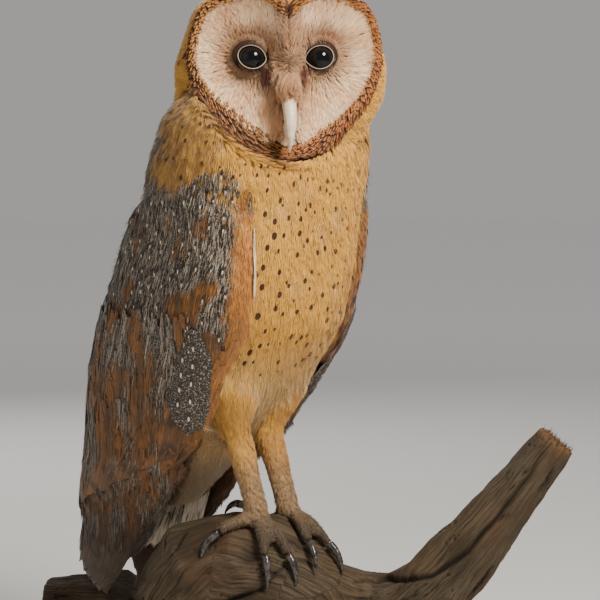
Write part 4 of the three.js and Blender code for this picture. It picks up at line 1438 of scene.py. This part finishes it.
# Long loose feathers break up the flight feathers, except on the lobe.
LOOSE_Z = (86, 226)
loose_size = by_height([80, 150, 226], [15, 20, 16], [80, 226], [5.5, 7.5])
quad_z = quad_bird[:, 2]
clear_of_lobe = (turned_to > 66) | (quad_z < 150) | (quad_from_lead < 6)
over_flight = carries_wing & (quad_from_lead > 1) & clear_of_lobe
over_flight &= (quad_z < LOOSE_Z[1]) & (quad_z > LOOSE_Z[0])
loose = Coat("coat_wing_loose")
plumage(loose, over_flight, 3.0, loose_size, loose_tone, 123, shapes=COVERT_SHAPES, lift=loose_lift, fray=4)
loose.build(wing_paint, "wing_feathers")

behind_front = on_body & (turned_to >= FRONT_DEGREES) & ~wing_zone & (quad_room > 1.5)
mantle = Coat("coat_mantle")
plumage(mantle, behind_front, 1.9, trunk_size, mantle_tone, 115, spots=0.6, fray=8)
mantle.build(plume_paint, "plumage")

TAIL_TOP = np.array([0, 58, 165.0])
TAIL_FOOT = np.array([0, 110, 76.0])
TAIL_FEATHERS = 7
TAIL_WIDTH = 16


def tail_coat():
    """Tail feathers in two layers, a pale one seen from below and a barred one seen from above."""
    coat = Coat("tail_feathers")
    for cell in range(2 * TAIL_FEATHERS):
        below = cell < TAIL_FEATHERS
        s = 2 * (cell % TAIL_FEATHERS) / (TAIL_FEATHERS - 1) - 1
        t = np.linspace(0.02, 0.985 - 0.05 * s * s, 10)
        centre = TAIL_TOP + (TAIL_FOOT - TAIL_TOP) * t[:, None]
        y = centre[:, 1] - 5 * s * s - (4.6 if below else -0.4)
        points = moved(columns(s * np.interp(t, [0, 0.5, 1], [6, 13, 20]), y, centre[:, 2]), TO_ROW)
        facing = np.array([[0.0, -0.86, -0.5]]) * (1 if below else -1)
        normals = np.tile(turned(facing, TO_ROW), (len(t), 1))
        if below and s > -0.1:
            tone, mark = TAIL_WHITE, (NO_GREY, 0.0, 0.0)
        elif below:
            tone, mark = blend(TAIL_WHITE, GREY, 0.45), (0.97, 0.4, 0.0)
        else:
            tone, mark = RUFOUS, (0.9, 0.8, 0.3)
        offset = 0.5 + 0.9 * (s + 1 if below else 1 - abs(s))
        tilt = 0.3 * np.sign(s)
        add_quill(coat, (points, normals), TAIL_WIDTH, offset, tilt, tone, mark, cell, 270 + cell,
                  follow=False)
    return coat


tail_coat().build(feather_paint, "flight_feathers")

# ---------------------------------------------------------------- legs
leg_size = by_height([112, 130, 160, 215], [5.5, 6.5, 12, 17], [112, 160, 215], [2.4, 4.4, 6.0])


def leg_tone(places):
    return leg_colour(to_bird(places)), np.zeros(len(places))


def toe_size(bird):
    return np.full(len(bird), 3.0), np.full(len(bird), 0.9)


legs = Coat("coat_legs")
plumage(legs, quad_kind == "thigh", 1.6, leg_size, leg_tone, 64, lift=0.3)
plumage(legs, quad_kind == "shank", 1.15, leg_size, leg_tone, 65, shapes=FINE_SHAPES, lift=0.5)
legs.build(plume_paint, "legs")
bristles = Coat("coat_toes")
plumage(bristles, quad_kind == "foot", 1.5, toe_size, leg_tone, 66, shapes=FINE_SHAPES, lift=0.5, fray=25)
bristles.build(plume_paint, "legs")


# ---------------------------------------------------------------- claws and bill
def smooth_piece(node, voxel, smoothing, material):
    """A smooth mesh in the place of a small hard CAD node."""
    name = node + "_horn"
    mesh = remeshed(name, [node], voxel, smoothing, grow=0.0)
    mesh.name = name
    mesh.polygons.foreach_set("use_smooth", np.ones(len(mesh.polygons), dtype=bool))
    mesh.materials.clear()
    dressed(linked(bpy.data.objects.new(name, mesh)), material, [node])


def claw_material():
    n = Nodes("claw")
    place = n.position()
    streak = n.noise(place, 260.0, 3, 0.6)
    fine = n.noise(place, 1500.0, 2, 0.6)
    colour = n.mix(n.step(streak, 0.35, 0.7), linear(22, 20, 19), linear(72, 64, 58))
    rough = n.scaled(fine, 0.22, 0.14)
    height = n.plus(streak, n.times(fine, 0.3))
    return n.finish(colour, rough, height, 0.15, 0.0003, Specular_IOR_Level=0.6, Coat_Weight=0.4,
                    Coat_Roughness=0.15)


def bill_material():
    n = Nodes("bill")
    place = n.position()
    x, y, z = n.split(place)
    streak = n.noise(n.combine(n.times(x, 900.0), n.times(y, 900.0), n.times(z, 120.0)), 1.0, 3, 0.6)
    cloud = n.noise(place, 140.0, 2)
    colour = n.mix(streak, linear(196, 170, 138), linear(244, 228, 204))
    colour = n.mix(n.step(cloud, 0.5, 0.75), colour, linear(214, 176, 150))
    return n.finish(colour, 0.36, streak, 0.15, 0.0003, Specular_IOR_Level=0.5, Subsurface_Weight=0.08,
                    Coat_Weight=0.15, Coat_Roughness=0.3)


claw_paint = claw_material()
bill_paint = bill_material()
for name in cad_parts:
    if name.startswith("claw"):
        smooth_piece(name, 0.55, 3, claw_paint)
smooth_piece("bill_upper", 0.6, 4, bill_paint)
smooth_piece("bill_lower", 0.5, 3, bill_paint)


# ---------------------------------------------------------------- eyes and lids
EYE_TURNS = 48
EYE_RINGS = 25
LID_RIM = linear(168, 156, 142)
LID_BARE = linear(46, 34, 28)
LID_EDGE = linear(24, 20, 18)
LID_OUTER = linear(50, 32, 22)
# Rings of lid skin from the opening outwards: size beside the opening's, mm above the eyeball, colour.
LID_RINGS = [
    (0.95, 0.05, LID_EDGE), (0.985, 0.4, LID_RIM), (1.03, 0.6, LID_BARE), (1.07, 0.2, LID_BARE),
    (1.12, -0.7, LID_OUTER), (1.22, -1.9, LID_OUTER), (1.4, -3.4, LID_OUTER),
]
LID_THICKNESS = 0.5
# The rows of small feathers over the lids: sizes beside the opening's, and the turn between two feathers.
LID_FRINGE = [1.06, 1.09, 1.13, 1.18, 1.24, 1.32]
FRINGE_STEP = 0.105


def eye_material():
    """A black pupil in a nearly black iris; Vane tells how far from the middle a point lies."""
    n = Nodes("eye")
    from_middle = n.split(n.attribute("Vane"))[0]
    fibres = n.noise(n.position(), 1800.0, 3, 0.7)
    iris = n.mix(fibres, linear(15, 12, 10), linear(31, 23, 18))
    colour = n.mix(n.step(from_middle, 0.64, 0.72), linear(6, 6, 7), iris)
    colour = n.mix(n.step(from_middle, 0.9, 1.0), colour, linear(14, 12, 12))
    return n.finish(colour, 0.06, fibres, 0.02, 0.0001, Specular_IOR_Level=0.2, Coat_Weight=0.16,
                    Coat_Roughness=0.03)


def lid_material():
    n = Nodes("lid")
    wrinkle = n.noise(n.position(), 1500.0, 4, 0.65)
    colour = n.tint(n.coat(), wrinkle, (0.75, 0.75, 0.75), (1.2, 1.2, 1.2))
    return n.finish(colour, 0.72, wrinkle, 0.5, 0.0004, Specular_IOR_Level=0.12)


def eyeball(word, side):
    """A ball with a slight bulge in front."""
    points = []
    for r in range(EYE_RINGS):
        tilt = math.pi * r / (EYE_RINGS - 1)
        bulge = 1 + 0.05 * math.exp(-((tilt / 0.7) ** 2))
        away, forward = math.sin(tilt), math.cos(tilt) * bulge
        for k in range(EYE_TURNS):
            turn = 2 * math.pi * k / EYE_TURNS
            points.append((away * math.cos(turn), -forward, away * math.sin(turn)))
    points = np.array(points)
    middle = np.where(points[:, 1] < 0, np.hypot(points[:, 0], points[:, 2]) / 0.8, 1.2)
    head = points * (EYE_RADIUS - 0.25) + [side * EYE_SPREAD, -EYE_DEPTH, EYE_RISE]
    piece = make_object("eyeball_" + word, moved(head, HEAD_TO_ROW), ring_faces(EYE_RINGS, EYE_TURNS),
                        vectors={"Vane": columns(middle, middle, middle)})
    dressed(piece, eye_paint, ["eye_" + word])


def lid_ring(turns, grow, rise, side):
    """Points of the head's frame round one eye, rise mm above it, for turns round the lids' opening."""
    corner = 1 + 0.10 * bump((turns - np.pi, 0.35))
    x = np.cos(turns) * LID_WIDE * grow * corner
    z = np.sin(turns) * LID_TALL * grow
    across = x * math.cos(LID_SLANT) - z * math.sin(LID_SLANT) + side * LID_SHIFT
    up = x * math.sin(LID_SLANT) + z * math.cos(LID_SLANT) + LID_LIFT
    ball = EYE_RADIUS + rise
    forward = np.sqrt(np.maximum(ball ** 2 - np.minimum(across ** 2 + up ** 2, ball ** 2 * 0.93), 0.5))
    return columns(side * EYE_SPREAD + side * across, -EYE_DEPTH - forward, EYE_RISE + up)


def lids(word, side):
    """A ring of lid skin round the eye: a pale thin rim, then dark skin that runs under the feathers."""
    turns = np.arange(EYE_TURNS) * 2 * np.pi / EYE_TURNS
    points = np.concatenate([lid_ring(turns, grow, rise, side) for grow, rise, _ in LID_RINGS])
    colours = np.repeat([shade for _, _, shade in LID_RINGS], EYE_TURNS, axis=0)
    faces = ring_faces(len(LID_RINGS), EYE_TURNS)
    piece = make_object("lids_" + word, moved(points, HEAD_TO_ROW), faces if side < 0 else faces[:, ::-1],
                        colour=colours)
    solid = piece.modifiers.new("thick", "SOLIDIFY")
    solid.thickness = LID_THICKNESS * MM
    solid.offset = 0
    smooth = piece.modifiers.new("smooth", "SUBSURF")
    smooth.levels = smooth.render_levels = 1
    dressed(piece, lid_paint)


def lid_fringe():
    """Rows of small feathers, dark at their roots, from the lids' rim outwards over the face."""
    draw = np.random.default_rng(76)
    coat = Coat("coat_lids")
    grows, rises = [ring[0] for ring in LID_RINGS], [ring[1] for ring in LID_RINGS]
    for side in (-1, 1):
        middle = np.array([side * EYE_SPREAD, -EYE_DEPTH, EYE_RISE])
        for grow in LID_FRINGE:
            turns = np.arange(0, 2 * np.pi, FRINGE_STEP) + draw.uniform(0, 0.1)
            head = lid_ring(turns, grow, np.interp(grow, grows, rises), side)
            outward = unit((head - middle) * [1, 0, 1])
            normals = turned(unit(head - middle), HEAD_TO_ROW)
            ways = turned(unit(outward + [0, 0.3, 0]), HEAD_TO_ROW)
            count = len(turns)
            length = draw.uniform(3.6, 6.2, count)
            tone = disc_colour(head + outward * 4) * draw.uniform(0.8, 1.05, count)[:, None]
            rise = draw.uniform(0.3, 0.9, count)

            def dress(mine, points, own, number, shape):
                colour = blend(LID_OUTER, tone[number], np.clip(own[:, 1] * 1.1, 0, 1))
                return colour, plain_vectors(points, own, number, draw.uniform(0, 1, count))

            coat.grow(draw, FINE_SHAPES[:1], (moved(head, HEAD_TO_ROW), normals, ways), length, length * 0.26,
                      np.full(count, 0.1), rise, dress)
    coat.build(face_paint, "face")


eye_paint = eye_material()
lid_paint = lid_material()
for word, side in (("right", -1), ("left", 1)):
    eyeball(word, side)
    lids(word, side)
lid_fringe()

# ---------------------------------------------------------------- driftwood
# The middle lines of its limbs, as in the CAD model, in mm: a log, a branch, a root behind and three feet.
LIMBS = [
    [(-78, 10, 46), (-50, 6, 71), (-20, 6, 67), (14, 14, 49), (48, 12, 48), (76, 0, 62)],
    [(38, 4, 30), (70, 0, 60), (91, -1, 85), (114, -2, 112), (144, -4, 151)],
    [(-6, 20, 28), (-54, 96, 8), (-106, 150, 30), (-158, 156, 32)],
    [(6, 4, 42), (-35, -28, 26), (-58, -46, 6)],
    [(6, 4, 42), (53, -23, 26), (88, -38, 6)],
    [(6, 4, 42), (44, 31, 26), (74, 52, 6)],
]
WOOD_VOXEL = 1.3
BRANCH_END = np.array([144, -4, 151.0])
BRANCH_WAY = np.array([30, -2, 39.0]) / np.linalg.norm([30, -2, 39])
BRANCH_RADIUS = 11.5
# Cracks seen from the front: each a line of (x, z) in mm, its half width and its depth.
CRACKS = [
    ([(139, 150), (127, 132), (112, 112), (93, 90), (73, 76), (52, 72), (30, 70)], 0.9, 3.6),
    ([(142, 136), (139, 128), (134, 122)], 0.7, 2.6),
    ([(108, 80), (100, 68), (92, 58)], 0.8, 3.0),
    ([(66, 66), (48, 58), (20, 56), (0, 48)], 0.6, 2.0),
    ([(-8, 84), (-22, 70), (-44, 62), (-62, 60)], 0.8, 2.6),
    ([(-30, 60), (-20, 44), (-2, 34)], 0.7, 2.2),
]
HOLLOW_AT = np.array([-27, -30, 90.0])
HOLLOW_RADIUS = 5.5
HOLLOW_DEPTH = 4.5
SEAM_DEPTH = 1.4
WOOD_DARK = linear(38, 31, 23)
WOOD_PALE = linear(92, 79, 61)
WOOD_WARM = linear(78, 57, 37)
WOOD_GREY = linear(60, 58, 51)
WOOD_TORN = linear(116, 84, 54)
# Dark rot patches, and painted shade on the wood at negative x, the side away from the key light.
WOOD_ROT_AND_SHADE = linear(52, 41, 28)
# Painted shade inside the cracks, seams and the knot hole.
CRACK_SHADE = linear(18, 13, 9)
MM_PER_RADIAN = 26
LIMB_STEP = 40


def limb_places(points):
    """For each point: distance along the nearest limb, angle round it, and the limb's number."""
    best = np.full(len(points), 1e9)
    along, around, number = np.zeros(len(points)), np.zeros(len(points)), np.zeros(len(points))
    for index, limb in enumerate(LIMBS):
        line = np.array(limb, dtype=float)
        before = 0.0
        for a, b in zip(line[:-1], line[1:]):
            size = np.linalg.norm(b - a)
            axis = (b - a) / size
            t = np.clip((points - a) @ axis, 0, size)
            off = points - (a + t[:, None] * axis)
            distance = np.linalg.norm(off, axis=1)
            first = np.cross(axis, [0.1, 1.0, 0.2])
            first /= np.linalg.norm(first)
            second = np.cross(axis, first)
            closer = distance < best
            best = np.where(closer, distance, best)
            along = np.where(closer, before + t, along)
            around = np.where(closer, np.arctan2(off @ second, off @ first), around)
            number = np.where(closer, index, number)
            before += size
    return along, around, number


def line_distance(x, z, line):
    """Distance in the (x, z) plane to a line of points, and the share of the way along it."""
    best, share = np.full(len(x), 1e9), np.zeros(len(x))
    line = np.array(line, dtype=float)
    pieces = len(line) - 1
    for k, (a, b) in enumerate(zip(line[:-1], line[1:])):
        d = b - a
        t = np.clip(((x - a[0]) * d[0] + (z - a[1]) * d[1]) / (d @ d), 0, 1)
        distance = np.hypot(x - a[0] - t * d[0], z - a[1] - t * d[1])
        closer = distance < best
        best = np.where(closer, distance, best)
        share = np.where(closer, (k + t) / pieces, share)
    return best, share


def wood_material():
    """Weathered wood. Grain is (mm round the limb, mm along it, limb); Mark is (painted shade in the cracks,
    seams and knot hole; dark rot patches with painted shade at negative x; torn end).
    """
    n = Nodes("driftwood")
    around, along, limb = n.split(n.attribute("Grain"))
    crack_shade, rot_and_shade, torn = n.split(n.attribute("Mark"))
    place = n.position()
    warp = n.noise(place, 28.0, 3)
    line = n.combine(n.scaled(around, 0.85, n.times(warp, 9.0)), n.times(along, 0.035), limb)
    grain = n.noise(line, 1.0, 5, 0.65)
    fine = n.noise(n.combine(n.times(around, 3.4), n.times(along, 0.09), limb), 1.0, 3, 0.7)
    cloud = n.noise(place, 34.0, 4, 0.6)
    speck = n.noise(place, 520.0, 3, 0.7)
    colour = n.mix(n.step(grain, 0.3, 0.68), WOOD_DARK, WOOD_PALE)
    colour = n.mix(n.times(n.step(cloud, 0.5, 0.68), 0.55), colour, WOOD_WARM)
    colour = n.mix(n.times(n.step(cloud, 0.46, 0.3), 0.5), colour, WOOD_GREY)
    colour = n.tint(colour, fine, (0.62, 0.6, 0.58), (1.3, 1.28, 1.26))
    colour = n.tint(colour, speck, (0.78, 0.77, 0.76), (1.2, 1.2, 1.2))
    colour = n.mix(n.times(torn, 0.75), colour, WOOD_TORN)
    # dark rot patches, and painted shade on the wood at negative x, the side away from the key light
    colour = n.mix(n.times(rot_and_shade, 0.8), colour, WOOD_ROT_AND_SHADE)
    # painted shade: the cracks, seams and knot hole are painted nearly black inside
    colour = n.mix(crack_shade, colour, CRACK_SHADE)
    height = n.plus(n.plus(n.times(grain, 1.2), n.times(fine, 0.6)), n.times(speck, 0.3))
    return n.finish(colour, 0.82, height, 0.7, 0.0012, Specular_IOR_Level=0.25)


def wood():
    """The CAD driftwood, weathered: ridges along the grain, cracks, a knot hole and a torn branch end."""
    mesh = remeshed("wood", ["driftwood"], WOOD_VOXEL, 5, grow=0.25)
    points, triangles = mesh_arrays(mesh)
    normal = point_normals(mesh)
    along, around, limb = limb_places(points)
    girth = around * MM_PER_RADIAN + limb * LIMB_STEP
    bend = wander(points, 46, 301)
    ridges = wander(columns(girth + 5 * bend, along * 0.10, limb * 9), 7.5, 302)
    furrows = wander(columns(girth + 5 * bend, along * 0.16, limb * 9), 3.4, 303)
    lumps = wander(points, 24, 304) * 0.5 + wander(points, 11, 305) * 0.3
    move = 0.34 * ridges + 0.2 * furrows + 0.8 * lumps
    front_share = ramp(-normal[:, 1], 0.0, 0.35)
    # painted shade: where the cracks, seams and knot hole are painted nearly black inside
    crack_shade = np.zeros(len(points))
    waver = wander(points, 16, 306) * 1.1 + wander(points, 6, 307) * 0.5
    for line, half, deep in CRACKS:
        distance, share = line_distance(points[:, 0] + waver, points[:, 2] + waver * 0.6, line)
        taper = np.sin(np.pi * np.clip(share, 0.04, 0.96)) ** 0.4
        cut = bump((distance, half * taper + 0.35)) * front_share * taper
        move -= deep * cut
        crack_shade = np.maximum(crack_shade, cut)
    split = np.abs(wander(columns(girth + 6 * bend, along * 0.07, limb * 31), 10, 308))
    seam = ramp(0.06 - split, 0, 0.05) * ramp(wander(points, 30, 309), 0.0, 0.4)
    hollow = bump((np.linalg.norm((points - HOLLOW_AT) * [1, 0.4, 1], axis=1), HOLLOW_RADIUS)) * front_share
    move -= SEAM_DEPTH * seam
    move -= HOLLOW_DEPTH * hollow
    crack_shade = np.maximum(crack_shade, seam * 0.85)
    end = ramp((points - BRANCH_END) @ BRANCH_WAY, -9, 0)
    teeth = wander(columns(girth, along * 0.05, limb), 4.5, 310)
    cap = np.clip(normal @ BRANCH_WAY, 0, 1) * end
    points = points + normal * move[:, None] * ramp(points[:, 2], 0.0, 5.0)[:, None]
    points = points + BRANCH_WAY * (cap * (2.2 * teeth - 1.2))[:, None]
    points[:, 2] = np.maximum(points[:, 2], 0.0)
    # dark rot patches, plus painted shade that grows towards negative x, the side away from the key light
    rot_and_shade = ramp(wander(points, 40, 311) + 0.6 * ramp(-points[:, 0], 0, 60), 0.5, 1.1) * front_share
    torn = end * (0.5 + 0.5 * teeth)
    vectors = {
        "Grain": columns(girth, along, limb),
        "Mark": np.clip(columns(crack_shade + hollow, rot_and_shade, torn), 0, 1),
    }
    piece = make_object("driftwood_weathered", points, triangles, vectors=vectors)
    dressed(piece, wood_paint, ["driftwood"])
    print("driftwood", len(triangles), "triangles")


SPLINTERS = 120
SPLINTERS_ROUND = 6.28
SPLINTER_SIDES = 3
SPLINTER_RINGS = 4
THIRD_OF_TURN = 2.094


def splinters():
    """Thin torn fibres that stand out of the broken end."""
    draw = np.random.default_rng(320)
    points, faces, grain, mark = [], [], [], []
    first_way = np.cross(BRANCH_WAY, [0, 1, 0])
    first_way /= np.linalg.norm(first_way)
    second_way = np.cross(BRANCH_WAY, first_way)
    for _ in range(SPLINTERS):
        turn = draw.uniform(0, SPLINTERS_ROUND)
        reach_out = BRANCH_RADIUS * draw.uniform(0.35, 1.0) ** 0.5
        root = BRANCH_END + (first_way * math.cos(turn) + second_way * math.sin(turn)) * reach_out * 0.86
        length, half = draw.uniform(2.0, 4.6), draw.uniform(0.2, 0.5)
        lean = BRANCH_WAY + draw.normal(0, 0.28, 3)
        bend = draw.normal(0, 0.5, 3)
        across = np.cross(lean, draw.normal(size=3))
        across /= np.linalg.norm(across)
        other = np.cross(across, lean)
        other /= np.linalg.norm(other)
        first = len(points)
        for k in range(SPLINTER_RINGS):
            t = k / (SPLINTER_RINGS - 1)
            middle = root + lean * length * (t - 0.45) + bend * length * 0.35 * t * t
            for c in range(SPLINTER_SIDES):
                corner = THIRD_OF_TURN * c
                size = half * (1 - 0.85 * t)
                points.append(middle + (across * math.cos(corner) + other * math.sin(corner)) * size)
                grain.append((turn * 20, length * t, 2))
                mark.append((0.0, 0.0, draw.uniform(0.4, 1)))
        for a, b, c, d in ring_faces(SPLINTER_RINGS, SPLINTER_SIDES) + first:
            faces += [(a, b, c), (a, c, d)]
    piece = make_object("driftwood_splinters", np.array(points), np.array(faces),
                        vectors={"Grain": np.array(grain), "Mark": np.array(mark)})
    dressed(piece, wood_paint)


wood_paint = wood_material()
wood()
splinters()

# ---------------------------------------------------------------- camera
LOOK_AT = Vector((0, 0, 0.2296))
CAMERA_RISE = math.radians(4)
CAMERA_AWAY = 1.5
CAMERA_LENS = 160.7


def aim(thing, target):
    thing.rotation_euler = (Vector(target) - thing.location).to_track_quat("-Z", "Y").to_euler()


camera_data = bpy.data.cameras.new("camera")
camera_data.lens = CAMERA_LENS
camera_data.sensor_width = 36
camera_data.clip_start = 0.05
camera = linked(bpy.data.objects.new("camera", camera_data))
camera.location = LOOK_AT + CAMERA_AWAY * Vector((0, -math.cos(CAMERA_RISE), math.sin(CAMERA_RISE)))
aim(camera, LOOK_AT)
bpy.context.scene.camera = camera


# ---------------------------------------------------------------- floor
FLOOR_RADIUS = 7000
FLOOR_SIDES = 64


def floor_material():
    """Pale, and paler far away as painted light, so that it ends without a dark line."""
    n = Nodes("floor")
    place = n.position()
    cloud = n.noise(place, 6.0, 3)
    x, y, _ = n.split(place)
    away = n.math("SQRT", n.plus(n.times(x, x), n.times(y, y)))
    colour = n.mix(cloud, (0.66, 0.65, 0.64), (0.71, 0.70, 0.69))
    colour = n.mix(n.step(away, 0.5, 3.0), colour, (0.985, 0.98, 0.975))
    return n.finish(colour, 0.8, Specular_IOR_Level=0.2)


floor_turns = np.linspace(0, 2 * np.pi, FLOOR_SIDES + 1)[:-1]
floor_points = columns(np.cos(floor_turns), np.sin(floor_turns), 0.0) * FLOOR_RADIUS
floor_faces = np.array([(FLOOR_SIDES, k, (k + 1) % FLOOR_SIDES) for k in range(FLOOR_SIDES)])
floor = make_object("floor", np.concatenate([floor_points, [[0, 0, 0]]]), floor_faces, smooth=False)
floor.data.materials.append(floor_material())


# ---------------------------------------------------------------- light
def area_light(name, place, target, size, power, colour):
    light = bpy.data.lights.new(name, "AREA")
    light.shape = "DISK"
    light.size = size
    light.energy = power
    light.color = colour
    made = linked(bpy.data.objects.new(name, light))
    made.location = place
    aim(made, target)


area_light("key", (0.42, -0.58, 0.84), (0.02, 0.0, 0.33), 0.34, 17, (1.0, 0.93, 0.83))
area_light("fill", (-1.2, -0.9, 0.6), (0, 0, 0.2), 1.2, 1.5, (1.0, 0.97, 0.93))
area_light("back", (-0.4, 1.2, 0.9), (0, 0, 0.25), 0.9, 7, (1.0, 0.97, 0.92))
world = bpy.data.worlds.new("studio")
world.use_nodes = True
background = world.node_tree.nodes["Background"]
background.inputs["Color"].default_value = (1.0, 0.98, 0.95, 1)
background.inputs["Strength"].default_value = 0.38
bpy.context.scene.world = world
